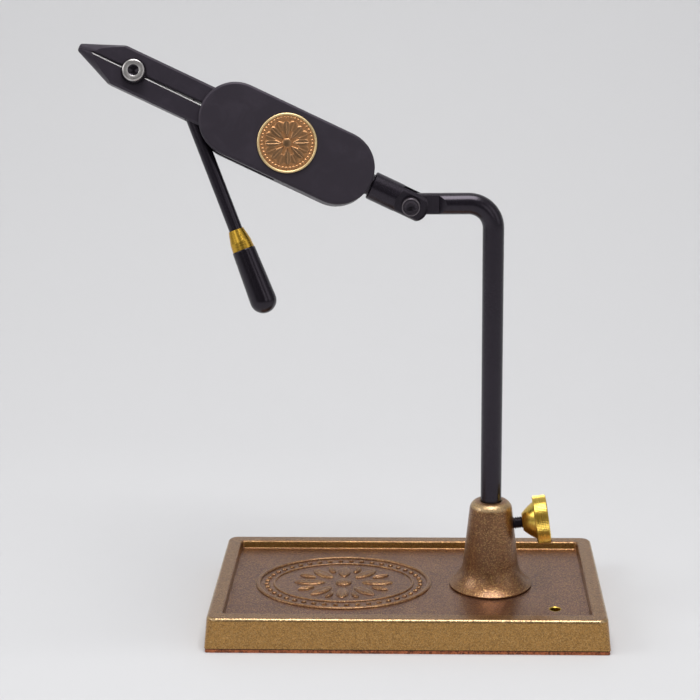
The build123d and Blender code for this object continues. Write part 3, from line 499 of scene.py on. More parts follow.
def build_turned(name, tone, tarnish, axis, rough, line_scale):
    material, tree, shader = new_material(name, Metallic=1.0)
    coords = add_node(tree, "ShaderNodeTexCoord")
    along = measure_along(tree, coords.outputs["Object"], axis)
    lines = add_node(tree, "ShaderNodeTexNoise", {"noise_dimensions": "1D"}, W=along, Scale=line_scale,
                     Detail=LINE_DETAIL, Roughness=LINE_ROUGHNESS)
    marks = place_group(tree, mark_group, Scale=TARNISH_SCALE, Reach=TARNISH_REACH)
    colour = mix_tones(tree, marks.outputs["Mask"], tone, tarnish)
    roughness = remap(tree, lines.outputs["Fac"], NOISE_LOW, NOISE_HIGH, *rough)
    feed(tree, shader, Base_Color=colour, Roughness=roughness)
    add_bump(tree, shader, lines.outputs["Fac"], LINE_DEPTH, LINE_STRENGTH)
    return material


lever_direction = (box_centre("lever_grip") - Vector(joints["lever_squeeze"]["pos_m"])).normalized()
brass_knob = build_turned("brass_knob", BRASS, BRASS_TARNISH, clamp_direction, BRIGHT, FINE_LINES)
brass_ferrule = build_turned("brass_ferrule", RED_BRASS, RED_TARNISH, lever_direction, BRIGHT, FINE_LINES)
brass_bush = build_turned("brass_bush", BRASS, BRASS_TARNISH, UPRIGHT, POLISHED, COARSE_LINES)
stainless = build_turned("stainless_steel", STAINLESS, STAINLESS_TARNISH, head_front, BRUSHED, COARSE_LINES)
bright_steel = build_turned("bright_steel", STEEL, STEEL_TARNISH, head_direction, BRUSHED, COARSE_LINES)
print("turned metals:", [m.name for m in (brass_knob, brass_ferrule, brass_bush, stainless, bright_steel)])

# %% [markdown]
# The pad is pressed cork and rubber, a reddish sheet of crumbs in several shades. The plug under the stem
# is plain nylon. Both are rough, so they need colour variation and bump more than gloss. A painted shadow
# darkens the top edge of the pad, where it meets the casting.

# %% Pad and plug
CORK_DARK, CORK_LIGHT = (0.050, 0.014, 0.008), (0.56, 0.165, 0.060)
NYLON_DARK, NYLON_LIGHT = (0.62, 0.60, 0.55), (0.72, 0.70, 0.65)
CORK_SCALE, CORK_DEPTH, CORK_ROUGHNESS = 1100.0, 0.2 * mm, 0.85
NYLON_SCALE, NYLON_DEPTH, NYLON_ROUGHNESS = 900.0, 0.01 * mm, 0.5
DUST_SCALE, DUST_SHARE, CRUMB_SHARE, CRUMB_BUMP = 2.0, 0.5, 0.75, 0.7
# The tone and heights of the painted shadow along the pad's top edge.
PAD_SHADOW_TONE, PAD_SHADOW_START, PAD_SHADOW_END = (0.022, 0.012, 0.008), 1.35 * mm, 1.65 * mm


def build_crumbs(name, dark, light, scale, depth, roughness):
    material, tree, shader = new_material(name, Roughness=roughness)
    crumbs = place_group(tree, fleck_group, Scale=scale, Share=1.0)
    dust = place_group(tree, grain_group, Scale=scale * DUST_SCALE, Low=0.0, High=DUST_SHARE)
    share = calculate(tree, "MULTIPLY_ADD", crumbs.outputs["Shade"], CRUMB_SHARE, dust.outputs["Value"])
    feed(tree, shader, Base_Color=mix_tones(tree, share, dark, light))
    add_bump(tree, shader, crumbs.outputs["Height"], depth, CRUMB_BUMP)
    return material


def add_painted_pad_shadow(material):
    """Paints shade on what lies above the start of the painted shadow, under the casting's edge."""
    tree = material.node_tree
    shader = tree.nodes["Principled BSDF"]
    coords = add_node(tree, "ShaderNodeTexCoord")
    height = split_vector(tree, coords.outputs["Object"])["Z"]
    mask = remap(tree, height, PAD_SHADOW_START, PAD_SHADOW_END)
    crumb_colour = shader.inputs["Base Color"].links[0].from_socket
    feed(tree, shader, Base_Color=mix_tones(tree, mask, crumb_colour, PAD_SHADOW_TONE))


cork_rubber = build_crumbs("cork_rubber", CORK_DARK, CORK_LIGHT, CORK_SCALE, CORK_DEPTH, CORK_ROUGHNESS)
add_painted_pad_shadow(cork_rubber)
nylon = build_crumbs("nylon", NYLON_DARK, NYLON_LIGHT, NYLON_SCALE, NYLON_DEPTH, NYLON_ROUGHNESS)
print("pad and plug:", cork_rubber.name, nylon.name)

# %% [markdown]
# The medallion is struck copper with a brass rim. Its field is a bright copper and its raised pattern a
# duller brown. A picture could hold that, but the mesh already knows its own relief, so it carries the
# height and the rim as attributes, and the material mixes the tones by them.

# %% Patina on the medallion
FIELD_TONE, RAISED_TONE, RIM_BRASS_TONE = (0.50, 0.25, 0.110), (0.30, 0.180, 0.098), (0.82, 0.62, 0.33)
PATINA_SCALE, PATINA_SPREAD, PATINA_DEPTH, PATINA_BUMP = 2600.0, 0.16, 0.02 * mm, 0.3
RAISED_START, RAISED_FULL = 0.05, 0.95
FIELD_ROUGHNESS, RAISED_ROUGHNESS = 0.46, 0.36


def build_patina():
    material, tree, shader = new_material("patina_brass", Metallic=1.0)
    relief = add_node(tree, "ShaderNodeAttribute", {"attribute_name": "relief"})
    rim = add_node(tree, "ShaderNodeAttribute", {"attribute_name": "rim"})
    grain = place_group(tree, grain_group, Scale=PATINA_SCALE, Low=-PATINA_SPREAD, High=PATINA_SPREAD)
    uneven = calculate(tree, "ADD", relief.outputs["Fac"], grain.outputs["Value"])
    raised = remap(tree, uneven, RAISED_START, RAISED_FULL, blend="SMOOTHSTEP")
    struck = mix_tones(tree, raised, FIELD_TONE, RAISED_TONE)
    edged = mix_tones(tree, rim.outputs["Fac"], struck, RIM_BRASS_TONE)
    roughness = remap(tree, raised, 0.0, 1.0, FIELD_ROUGHNESS, RAISED_ROUGHNESS)
    feed(tree, shader, Base_Color=edged, Roughness=roughness)
    add_bump(tree, shader, grain.outputs["Height"], PATINA_DEPTH, PATINA_BUMP)
    return material


patina_brass = build_patina()
print("medallion finish:", patina_brass.name)

# %% [markdown]
# Each CAD node takes the finish of its real piece. Nodes that a finer piece replaces later get one too,
# so that no solid is left without a finish.

# %% Finishes on the CAD nodes
finishes = {
    base_bronze: ["base_plate"],
    pedestal_bronze: ["pedestal"],
    cork_rubber: ["base_pad"],
    nylon: ["stem_end_plug"],
    brass_bush: ["accessory_bush", "clamp_pad"],
    brass_knob: ["thumbscrew_knob"],
    brass_ferrule: ["lever_ferrule"],
    black_oxide: ["stem_rod", "knuckle", "spindle", "spindle_set_screw", "jaw_screw_washer", "lever_rod",
                  "head_screws", "thumbscrew_shank", "knuckle_screw"],
    black_jaw: ["upper_jaw"],
    highlit_lower_jaw: ["lower_jaw"],
    black_anodised: ["head_front_shell", "head_back_shell"],
    gloss_black: ["lever_grip"],
    stainless: ["jaw_screw_nut", "jaw_screw"],
    bright_steel: ["pedestal_screws", "jaw_pins", "cam"],
    patina_brass: ["medallion"],
}
for finish, names in finishes.items():
    for name in names:
        nodes[name].data.materials.clear()
        nodes[name].data.materials.append(finish)
print("finished nodes:", sum(len(names) for names in finishes.values()))

# %% [markdown]
# The medallion is struck, so its face is one continuous sheet of relief. The pattern is a ring of beads
# and a rosette of two rows of petals round a boss. Each is a formula for the height at a radius and an
# angle, and the highest one counts.

# %% Relief of the medallion
BEAD_CIRCLE, BEAD_COUNT, BEAD_RADIUS, BEAD_HEIGHT = 11.0 * mm, 44, 0.62 * mm, 0.7
BOSS_RADIUS, BOSS_HEIGHT = 2.1 * mm, 0.95
PETALS, PETAL_START, PETAL_END, PETAL_HEIGHT = 8, 2.3 * mm, 9.6 * mm, 0.8
BACK_START, BACK_END, BACK_SHARE = 5.2 * mm, 10.0 * mm, 0.75
PETAL_SPREAD, PETAL_POWER, PETAL_ROOT, PETAL_TAPER = 0.40, 0.55, 1.15, 0.35
RIB_DEPTH, RIB_WIDTH, LEAST_WIDTH = 0.38, 0.22, 1e-4


def dome(distance, radius):
    """A round bump: one at its middle, falling to nothing at its radius."""
    return max(0.0, 1 - (distance / radius) ** 2) ** 0.5


def petal(r, angle, start, end, turn):
    """Height of a ring of pointed petals with a sunk rib."""
    step = 2 * pi / PETALS
    off = (angle + turn) % step - step / 2
    along = (r - start) / (end - start)
    if not 0 < along < 1:
        return 0.0
    swell_out = (4 * along * (1 - along)) ** PETAL_POWER
    half_width = PETAL_SPREAD * step * swell_out * (PETAL_ROOT - PETAL_TAPER * along)
    across = abs(off) / max(half_width, LEAST_WIDTH)
    if across >= 1:
        return 0.0
    rib = 1 - RIB_DEPTH + RIB_DEPTH * min(1.0, across / RIB_WIDTH)
    return dome(across, 1.0) * PETAL_HEIGHT * rib


def medal_relief(r, angle):
    """Height of the medallion's face, from nothing on its field to one at the level of the rim."""
    step = 2 * pi / BEAD_COUNT
    off = (angle % step - step / 2) * r
    bead = BEAD_HEIGHT * dome(hypot(r - BEAD_CIRCLE, off), BEAD_RADIUS)
    boss = BOSS_HEIGHT * dome(r, BOSS_RADIUS)
    back_row = BACK_SHARE * petal(r, angle, BACK_START, BACK_END, 0.0)
    front_row = petal(r, angle, PETAL_START, PETAL_END, pi / PETALS)
    return max(bead, boss, back_row, front_row)


# %% [markdown]
# A polar grid suits a round piece: rings from the back over the rounded rim and in across the face, with
# the relief added to each point's height. The same numbers go into the two attributes that the patina
# reads.

# %% Struck medallion
MEDAL_RADIUS, MEDAL_HALF = 13.1 * mm, 0.95 * mm
RIM_INNER, RIM_HEIGHT, FIELD_DROP = 12.05 * mm, 0.5 * mm, 0.5 * mm
MEDAL_SPOKES, FACE_STEPS, RIM_STEPS = 288, 84, 12


def circle_points(radius, heights):
    """Points round the z axis, one for each height."""
    count = len(heights)
    return [(radius * cos(2 * pi * i / count), radius * sin(2 * pi * i / count), z)
            for i, z in enumerate(heights)]


def build_medallion():
    flat, full = [0.0] * MEDAL_SPOKES, [1.0] * MEDAL_SPOKES
    rings = [circle_points(MEDAL_RADIUS, [-MEDAL_HALF] * MEDAL_SPOKES)]
    relief, rim = [0.0] + flat, [1.0] + full
    for k in range(RIM_STEPS + 1):
        turn = pi * k / RIM_STEPS
        radius = RIM_INNER + (MEDAL_RADIUS - RIM_INNER) / 2 * (1 + cos(turn))
        height = MEDAL_HALF - RIM_HEIGHT * (1 - sin(turn))
        rings.append(circle_points(radius, [height] * MEDAL_SPOKES))
        relief += flat
        rim += full
    for k in range(1, FACE_STEPS):
        radius = RIM_INNER * (1 - k / FACE_STEPS)
        levels = [medal_relief(radius, 2 * pi * i / MEDAL_SPOKES) for i in range(MEDAL_SPOKES)]
        rings.append(circle_points(radius, [MEDAL_HALF + (level - 1) * FIELD_DROP for level in levels]))
        relief += levels
        rim += flat
    top = MEDAL_HALF + (BOSS_HEIGHT - 1) * FIELD_DROP
    points, faces = stack_rings(rings, (0, 0, -MEDAL_HALF), (0, 0, top))
    medal = make_object("medallion_relief", points, faces, local_frame(box_centre("medallion"), head_front))
    for key, values in (("relief", relief + [BOSS_HEIGHT]), ("rim", rim + [0.0])):
        layer = medal.data.attributes.new(key, "FLOAT", "POINT")
        layer.data.foreach_set("value", values)
    medal.data.materials.append(patina_brass)
    finish_piece(medal, "head", "copper", "medallion")


build_medallion()

# %% [markdown]
# Socket cap screws are the same form in two sizes: a head with a rounded rim and a hexagon socket, over a
# plain shank. The smaller, black one is knurled for the fingers. Rings of three kinds, round, knurled and
# hexagonal, follow the screw's section from its tail over the head and down into the socket.

# %% Rings of a cap screw
SPOKES, KNURL_DEPTH, KNURL_RIDGES = 144, 0.10 * mm, 36
TAIL_CHAMFER, HEAD_EASE, KNURL_GAP, ROUND_STEPS = 0.3 * mm, 0.1 * mm, 0.02 * mm, 6
GROOVE_INSET, GROOVE_SLOPE, GROOVE_WIDTH, GROOVE_DEPTH = 0.1 * mm, 0.08 * mm, 0.12 * mm, 0.12 * mm
LIP_MARGIN, LIP_WIDTH, LIP_SINK, MOUTH_DEPTH = 0.12 * mm, 0.1 * mm, 0.05 * mm, 0.3 * mm
DRILL_SHARE, DRILL_DEPTH, DRILL_TIP = 0.4, 0.35 * mm, 0.5 * mm


def screw_ring(kind, radius, z):
    """A ring that is round, knurled, or a hexagon with radius from its middle to its flats."""
    ring = []
    for i in range(SPOKES):
        angle = 2 * pi * i / SPOKES
        r = radius
        if kind == "hex":
            r = radius / cos((angle + pi / 6) % (pi / 3) - pi / 6)
        if kind == "knurl":
            r = radius - KNURL_DEPTH * (0.5 - 0.5 * cos(KNURL_RIDGES * angle))
        ring.append((r * cos(angle), r * sin(angle), z))
    return ring


def side_rings(shank, head, side, round_over, tail, seat, top):
    """The shank from its tail, and the side of the head."""
    return [
        screw_ring("round", shank - TAIL_CHAMFER, tail),
        screw_ring("round", shank, tail + TAIL_CHAMFER),
        screw_ring("round", shank, seat),
        screw_ring(side, head - HEAD_EASE, seat),
        screw_ring(side, head, seat + HEAD_EASE),
        screw_ring(side, head, top - round_over - KNURL_GAP),
    ]


def rim_rings(head, round_over, top):
    """The rounded rim of the head."""
    rings = []
    for k in range(ROUND_STEPS + 1):
        turn = k / ROUND_STEPS * pi / 2
        radius = head - round_over * (1 - cos(turn))
        rings.append(screw_ring("round", radius, top - round_over * (1 - sin(turn))))
    return rings


def face_rings(groove, lip, top):
    """The flat of the head: a turned groove, and the lip round the socket."""
    groove_end = groove - 2 * GROOVE_SLOPE - GROOVE_WIDTH
    return [
        screw_ring("round", groove, top),
        screw_ring("round", groove - GROOVE_SLOPE, top - GROOVE_DEPTH),
        screw_ring("round", groove_end + GROOVE_SLOPE, top - GROOVE_DEPTH),
        screw_ring("round", groove_end, top),
        screw_ring("round", lip + LIP_WIDTH, top),
        screw_ring("round", lip, top - LIP_SINK),
    ]


def socket_rings(socket, depth, top):
    """The hexagon socket, down to its drilled end."""
    return [
        screw_ring("hex", socket, top - MOUTH_DEPTH),
        screw_ring("hex", socket, top - depth),
        screw_ring("round", socket * DRILL_SHARE, top - depth - DRILL_DEPTH),
    ]


# %% [markdown]
# The rings are counted while they are stacked, because each band of faces between two rings has as many
# faces as a ring has points. So the count tells which faces are the rim and which the socket, and each
# takes its finish.

# %% Cap screw
def cap_screw(name, place, coats, reach, shank, head, side, round_over, socket, depth):
    """A screw along z. reach is where its tail, seat and top are, coats its body and rim finish and the
    socket's painted shade.
    """
    tail, seat, top = reach
    rings = side_rings(shank, head, side, round_over, tail, seat, top)
    rim_start = len(rings) * SPOKES
    rings += rim_rings(head, round_over, top)
    rim_end = len(rings) * SPOKES
    rings += face_rings(head - round_over - GROOVE_INSET, socket / cos(pi / 6) + LIP_MARGIN, top)
    socket_start = len(rings) * SPOKES
    rings += socket_rings(socket, depth, top)
    points, faces = stack_rings(rings, (0, 0, tail), (0, 0, top - depth - DRILL_TIP))
    screw = make_object(name, points, faces, place)
    for coat in coats:
        screw.data.materials.append(coat)
    for face in screw.data.polygons:
        if rim_start <= face.index < rim_end:
            face.material_index = 1
        if face.index >= socket_start:
            face.material_index = 2
    return screw


# %% [markdown]
# The bright screw holds the jaws together and stands on a dark washer. The knurled one clamps the
# knuckle's fork on the stem, and its rim takes a lighter black as a painted highlight. Both take their
# length from the solids that they replace, and their sockets take the darkest black as painted shade.

# %% Place both screws
JAW_SCREW = {"shank": 3.175 * mm, "head": 4.76 * mm, "side": "round", "round_over": 0.7 * mm,
             "socket": 2.0 * mm, "depth": 2.6 * mm}
KNUCKLE_SCREW = {"shank": 2.08 * mm, "head": 4.0 * mm, "side": "knurl", "round_over": 0.5 * mm,
                 "socket": 1.65 * mm, "depth": 2.2 * mm}
KNUCKLE_HEAD_HEIGHT = 4.2 * mm
KNUCKLE_FRONT = Vector((0, -1, 0))


def build_jaw_screw():
    centre = box_centre("jaw_screw_washer")
    tail, top = along_axis("jaw_screw", centre, head_front)
    seat = along_axis("jaw_screw_washer", centre, head_front)[1]
    # The stainless screw's socket takes black oxide as painted shade.
    screw = cap_screw("jaw_screw_bright", local_frame(centre, head_front),
                      (stainless, stainless, black_oxide), (tail, seat, top), **JAW_SCREW)
    finish_piece(screw, "bottom_jaw", "plain_steel", "jaw_screw")


def build_knuckle_screw():
    centre = Vector(joints["head_tilt"]["pos_m"])
    tail, top = along_axis("knuckle_screw", centre, KNUCKLE_FRONT)
    # The socket takes black oxide, darker than the screw's own black, as painted shade.
    screw = cap_screw("knuckle_screw_knurled", local_frame(centre, KNUCKLE_FRONT),
                      (screw_black, rim_highlight_black, black_oxide), (tail, top - KNUCKLE_HEAD_HEIGHT, top),
                      **KNUCKLE_SCREW)
    finish_piece(screw, "knuckle_body", "black_steel", "knuckle_screw")


build_jaw_screw()
build_knuckle_screw()

# %% [markdown]
# A brass bush lines the small hole in the tray that takes an accessory's post. Its mouth is eased so that
# a post finds its way in, and that slope is what catches the light. The section is a closed loop, turned
# about z.

# %% Brass bush
BUSH_BORE, MOUTH_EASE, BUSH_SPOKES = 2.3 * mm, 0.3 * mm, 72


def build_bush():
    low, high = (Vector(corner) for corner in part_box("accessory_bush"))
    outer, half = (high.x - low.x) / 2, (high.z - low.z) / 2
    section = [(outer, -half), (outer, half), (BUSH_BORE + MOUTH_EASE, half),
               (BUSH_BORE, half - MOUTH_EASE), (BUSH_BORE, -half)]
    points, faces = [], []
    for i in range(BUSH_SPOKES):
        angle = 2 * pi * i / BUSH_SPOKES
        points += [(r * cos(angle), r * sin(angle), z) for r, z in section]
        near, far = i * len(section), (i + 1) % BUSH_SPOKES * len(section)
        for k in range(len(section)):
            after = (k + 1) % len(section)
            faces.append((near + k, far + k, far + after, near + after))
    bush = make_object("accessory_bush_eased", points, faces, Matrix.Translation((low + high) / 2))
    bush.data.materials.append(brass_bush)
    finish_piece(bush, "base", "brass", "accessory_bush")


build_bush()

# %% [markdown]
# The clamp screw's shank shows a few turns of thread between the pedestal and the knob. A grid round the
# axis, whose radius rises and falls with the height less the turn's share of the pitch, is a true helix.
# A screw modifier would do as well, but the formula also tapers the thread at the tip.

# %% Clamp screw thread
THREAD_RADIUS, THREAD_DEPTH, THREAD_PITCH = 2.74 * mm, 0.45 * mm, 1.0583 * mm
THREAD_SPOKES, RINGS_PER_TURN = 64, 12
ROOT_SHARE, FLANK_SHARE = 0.12, 0.74
LEAD_LENGTH, LEAD_FIRST, LEAD_DROP = 0.8 * mm, 0.15, 0.2


def thread_radius(phase, from_tip):
    """The thread's radius at a number of turns along it and at a distance from its tip."""
    wave = abs((phase - floor(phase)) * 2 - 1)
    flank = min(1.0, max(0.0, (wave - ROOT_SHARE) / FLANK_SHARE))
    lead = min(1.0, from_tip / LEAD_LENGTH + LEAD_FIRST)
    return (THREAD_RADIUS - THREAD_DEPTH * (1 - flank)) * (1 - LEAD_DROP * (1 - lead))


def build_thread():
    start, end = along_axis("thumbscrew_shank", clamp_origin, clamp_direction)
    count = int((end - start) / THREAD_PITCH * RINGS_PER_TURN)
    rings = []
    for k in range(count + 1):
        z = start + (end - start) * k / count
        ring = []
        for i in range(THREAD_SPOKES):
            angle = 2 * pi * i / THREAD_SPOKES
            r = thread_radius(z / THREAD_PITCH - i / THREAD_SPOKES, z - start)
            ring.append((r * cos(angle), r * sin(angle), z))
        rings.append(ring)
    points, faces = stack_rings(rings, (0, 0, start), (0, 0, end))
    thread = make_object("clamp_screw_thread", points, faces, local_frame(clamp_origin, clamp_direction))
    thread.data.materials.append(black_oxide)
    finish_piece(thread, "thumbscrew", "black_steel", "thumbscrew_shank")


build_thread()

# %% [markdown]
# The tray floor carries a low cast ornament, a beaded oval with a rosette, whose soft relief suits the
# hammered coat. Its elements are half-round lines along an oval, and domed mounds for beads and leaves.
# Each is a closed form that sinks a little into the floor, as a casting has no gap under its ornament.

# %% Elements of the cast ornament
OVAL_X, OVAL_Y, SINK = 40 * mm, 30 * mm, 0.25 * mm
OVAL_STEPS, LINE_SIDES, LINE_POWER = 160, 10, 0.8
FINE_GRID, COARSE_GRID, COARSE_LENGTH = (16, 12), (8, 8), 4 * mm
POINTED, ROUNDED, END_POWER, VEIN_HALF = 0.75, 0.5, 0.35, 0.3


def line_section(width, height):
    """A half-round section with feet under the floor: offset across and height."""
    section = [(-width / 2, -SINK)]
    for k in range(LINE_SIDES + 1):
        turn = pi * k / LINE_SIDES
        section.append((-width / 2 * cos(turn), height * sin(turn) ** LINE_POWER))
    return section + [(width / 2, -SINK)]


def add_oval(points, faces, inset, width, height):
    """A half-round line along an oval that lies inside the outer one by an inset."""
    half_x, half_y = OVAL_X - inset, OVAL_Y - inset
    section = line_section(width, height)
    first, size = len(points), len(section)
    for i in range(OVAL_STEPS):
        angle = 2 * pi * i / OVAL_STEPS
        out = Vector((cos(angle) / half_x, sin(angle) / half_y, 0)).normalized()
        middle = Vector((half_x * cos(angle), half_y * sin(angle), 0))
        points += [tuple(middle + out * across + UPRIGHT * up) for across, up in section]
        near, far = first + i * size, first + (i + 1) % OVAL_STEPS * size
        for k in range(size):
            faces.append((near + k, far + k, far + (k + 1) % size, near + (k + 1) % size))


def add_mound(points, faces, centre, length, width, height, turn, power=ROUNDED, vein=0.0):
    """A leaf or bead, domed along and across. power shapes its ends, and vein sinks its middle line."""
    rows, columns = FINE_GRID if length > COARSE_LENGTH else COARSE_GRID
    rings = []
    for k in range(1, rows):
        share = k / rows
        taper = 4 * share * (1 - share)
        along, half = (share - 0.5) * length, width / 2 * taper**power
        ring = []
        for j in range(columns + 1):
            across = -cos(pi * j / columns)
            lift = height * dome(across, 1.0) * taper**END_POWER
            lift *= 1 - vein * max(0.0, 1 - abs(across) / VEIN_HALF)
            ring.append((along, half * across, lift))
        rings.append(ring + [(along, half, -SINK), (along, -half, -SINK)])
    made, skin = stack_rings(rings, (-length / 2, 0, -SINK), (length / 2, 0, -SINK))
    first = len(points)
    place = Matrix.Translation(centre) @ Matrix.Rotation(turn, 4, "Z")
    points += [tuple(place @ Vector(p)) for p in made]
    faces += [tuple(first + i for i in face) for face in skin]


# %% [markdown]
# The rosette has two rings of leaves round a boss. An oval frame needs leaves that reach farther along
# its long axis, so the leaves are stretched by their direction.

# %% Cast ornament in the tray
ORNAMENT_X = -30 * mm
OUTER_WIDTH, OUTER_HEIGHT = 2.2 * mm, 0.9 * mm
INNER_INSET, INNER_WIDTH, INNER_HEIGHT = 7.6 * mm, 1.2 * mm, 0.6 * mm
FLOOR_BEADS, FLOOR_BEAD_INSET, FLOOR_BEAD_SIZE, FLOOR_BEAD_HEIGHT = 44, 4.1 * mm, 2.6 * mm, 0.85 * mm
LEAVES, LEAF_HEIGHT, LEAF_VEIN, LEAF_STRETCH = 8, 1.0 * mm, 0.35, 0.28
LONG_LEAF = {"length": 12 * mm, "width": 6.2 * mm, "reach": 12.4 * mm, "turn": 0.0}
SHORT_LEAF = {"length": 7 * mm, "width": 3.4 * mm, "reach": 15.0 * mm, "turn": pi / LEAVES}
FLOOR_BOSS_SIZE, FLOOR_BOSS_HEIGHT = 8 * mm, 1.3 * mm


def add_leaves(points, faces, length, width, reach, turn):
    """A ring of leaves, longer and farther out along the oval's long axis."""
    for i in range(LEAVES):
        angle = 2 * pi * i / LEAVES + turn
        stretch = 1 + LEAF_STRETCH * cos(angle) ** 2
        spot = Vector((cos(angle), sin(angle), 0)) * reach * stretch
        add_mound(points, faces, spot, length * stretch, width, LEAF_HEIGHT, angle, POINTED, LEAF_VEIN)


def build_ornament():
    points, faces = [], []
    add_oval(points, faces, 0, OUTER_WIDTH, OUTER_HEIGHT)
    add_oval(points, faces, INNER_INSET, INNER_WIDTH, INNER_HEIGHT)
    bead_x, bead_y = OVAL_X - FLOOR_BEAD_INSET, OVAL_Y - FLOOR_BEAD_INSET
    for i in range(FLOOR_BEADS):
        angle = 2 * pi * (i + 0.5) / FLOOR_BEADS
        spot = Vector((bead_x * cos(angle), bead_y * sin(angle), 0))
        add_mound(points, faces, spot, FLOOR_BEAD_SIZE, FLOOR_BEAD_SIZE, FLOOR_BEAD_HEIGHT, angle)
    add_leaves(points, faces, **LONG_LEAF)
    add_leaves(points, faces, **SHORT_LEAF)
    add_mound(points, faces, Vector((0, 0, 0)), FLOOR_BOSS_SIZE, FLOOR_BOSS_SIZE, FLOOR_BOSS_HEIGHT, 0.0)
    place = Matrix.Translation((ORNAMENT_X, 0, tray_floor))
    ornament = make_object("tray_ornament", points, faces, place)
    ornament.data.materials.append(pedestal_bronze)
    finish_piece(ornament, "base", "bronze_paint")


build_ornament()

# %% [markdown]
# The photograph is a plain product shot on a pale sweep, one sheet of paper that curves from floor to
# wall, so no corner shows behind the vise. The paper shows on its front only, so it hides nothing from
# behind.

# %% Sweep
FLOOR_FRONT, FLOOR_BACK, SWEEP_RADIUS, WALL_TOP, SWEEP_HALF_WIDTH = -2.0, 0.25, 0.4, 1.3, 2.0
SWEEP_STEPS = 24
PAPER_TONE, PAPER_ROUGHNESS, PAPER_SHEEN = (0.603, 0.603, 0.613, 1), 0.9, 0.1


def build_sweep():
    path = [(FLOOR_FRONT, 0.0), (FLOOR_BACK, 0.0)]
    for k in range(1, SWEEP_STEPS + 1):
        turn = k / SWEEP_STEPS * pi / 2
        path.append((FLOOR_BACK + SWEEP_RADIUS * sin(turn), SWEEP_RADIUS * (1 - cos(turn))))
    path.append((FLOOR_BACK + SWEEP_RADIUS, WALL_TOP))
    points = [(side * SWEEP_HALF_WIDTH, y, z) for y, z in path for side in (-1, 1)]
    faces = [(2 * k, 2 * k + 1, 2 * k + 3, 2 * k + 2) for k in range(len(path) - 1)]
    sweep = make_object("sweep", points, faces)
    material, tree, shader = new_material("sweep_paper", Base_Color=PAPER_TONE, Roughness=PAPER_ROUGHNESS,
                                          Specular_IOR_Level=PAPER_SHEEN)
    geometry = add_node(tree, "ShaderNodeNewGeometry")
    front_only = calculate(tree, "SUBTRACT", 1.0, geometry.outputs["Backfacing"])
    feed(tree, shader, Alpha=front_only)
    sweep.data.materials.append(material)
    print("sweep is", 2 * SWEEP_HALF_WIDTH, "m wide and", WALL_TOP, "m high")


build_sweep()

# %% [markdown]
# Most of the light comes from one broad soft box overhead, which draws the pale line along every upper
# edge. Four weak boxes lift the sides. The world around is dim and even, and dimmer still behind the
# camera, as in a room where only the set is lit, so that black and brass have something dark to reflect.

# %% World and lamps
WORLD_TONE, WORLD_LOW, WORLD_HIGH = (1.0, 1.0, 1.01, 1), 0.30, 0.34
HORIZON, ZENITH = -0.1, 0.9
CAMERA_SIDE, DIM_START, DIM_FULL, DIM_SHARE = (0, -0.96, 0.27), 0.35, 0.85, 0.4
# Place and target in metres, width and height in metres, and power in watts
SOFTBOXES = {
    "overhead_softbox": ((0.08, -0.22, 1.35), (0.08, -0.22, 0.1), 0.75, 0.9, 16.2),
    "left_softbox": ((-1.2, -0.25, 0.85), (-0.1, 0.1, 0.1), 0.7, 0.7, 5.0),
    "front_softbox": ((-0.75, -1.15, 0.75), (-0.02, 0, 0.12), 0.6, 0.6, 1.5),
    "right_softbox": ((1.1, -0.5, 0.6), (0, 0, 0.12), 0.5, 0.9, 1.2),
    "low_right_softbox": ((0.62, -1.05, 0.5), (0.04, 0, 0.05), 0.35, 0.6, 0.8),
}


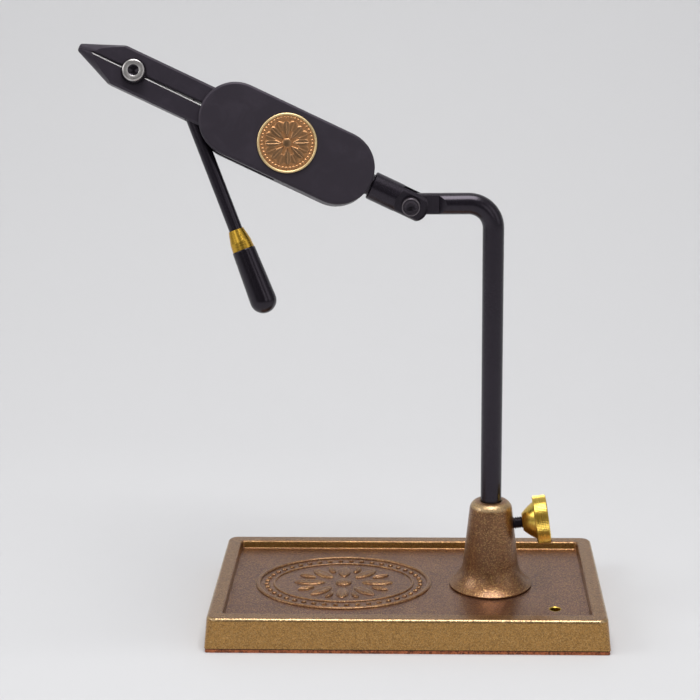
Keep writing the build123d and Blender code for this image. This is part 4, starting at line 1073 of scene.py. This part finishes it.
def build_world():
    world = bpy.data.worlds.new("studio")
    bpy.context.scene.world = world
    world.use_nodes = True
    tree = world.node_tree
    background = tree.nodes["Background"]
    coords = add_node(tree, "ShaderNodeTexCoord")
    upward = split_vector(tree, coords.outputs["Generated"])["Z"]
    even = remap(tree, upward, HORIZON, ZENITH, WORLD_LOW, WORLD_HIGH)
    behind_camera = measure_along(tree, coords.outputs["Generated"], CAMERA_SIDE)
    dimmed = remap(tree, behind_camera, DIM_START, DIM_FULL, 1.0, DIM_SHARE, blend="SMOOTHSTEP")
    feed(tree, background, Color=WORLD_TONE, Strength=calculate(tree, "MULTIPLY", even, dimmed))


def add_softbox(name, place, target, width, height, power):
    """A rectangular area lamp at a place, turned to a target."""
    lamp = bpy.data.lights.new(name, "AREA")
    lamp.shape = "RECTANGLE"
    lamp.size = width
    lamp.size_y = height
    lamp.energy = power
    holder = bpy.data.objects.new(name, lamp)
    bpy.context.scene.collection.objects.link(holder)
    holder.location = place
    holder.rotation_euler = (Vector(target) - Vector(place)).to_track_quat("-Z", "Y").to_euler()


build_world()
for name, values in SOFTBOXES.items():
    add_softbox(name, *values)

# %% [markdown]
# The camera stands where the photographer's did: a long lens, a little above the vise and almost square
# to it. Its place and turn were found by fitting the base's corners and the stem. Three plain vectors,
# forward, right and up, make its matrix, which is easier to check than three angles in a row.

# %% Camera
IMAGE_SIZE, FOCAL_PIXELS, SENSOR = 700, 1791.6, 36.0
CAMERA_PLACE = Vector((9.92, -778.42, 342.59)) * mm
CAMERA_YAW, CAMERA_PITCH, CAMERA_ROLL = radians(-2.612), radians(15.567), radians(-0.737)


def build_camera():
    level = cos(CAMERA_PITCH)
    forward = Vector((sin(CAMERA_YAW) * level, cos(CAMERA_YAW) * level, -sin(CAMERA_PITCH)))
    right = Vector((cos(CAMERA_YAW), -sin(CAMERA_YAW), 0))
    up = right.cross(forward)
    rolled_right = right * cos(CAMERA_ROLL) + up * sin(CAMERA_ROLL)
    rolled_up = up * cos(CAMERA_ROLL) - right * sin(CAMERA_ROLL)
    lens = bpy.data.cameras.new("photo_camera")
    lens.sensor_width = SENSOR
    lens.lens = FOCAL_PIXELS / IMAGE_SIZE * SENSOR
    holder = bpy.data.objects.new("photo_camera", lens)
    bpy.context.scene.collection.objects.link(holder)
    turn = Matrix((rolled_right, rolled_up, -forward)).transposed().to_4x4()
    holder.matrix_world = Matrix.Translation(CAMERA_PLACE) @ turn
    bpy.context.scene.camera = holder
    print("camera lens", round(lens.lens, 2), "mm")


build_camera()
bpy.context.scene.view_settings.view_transform = "Standard"
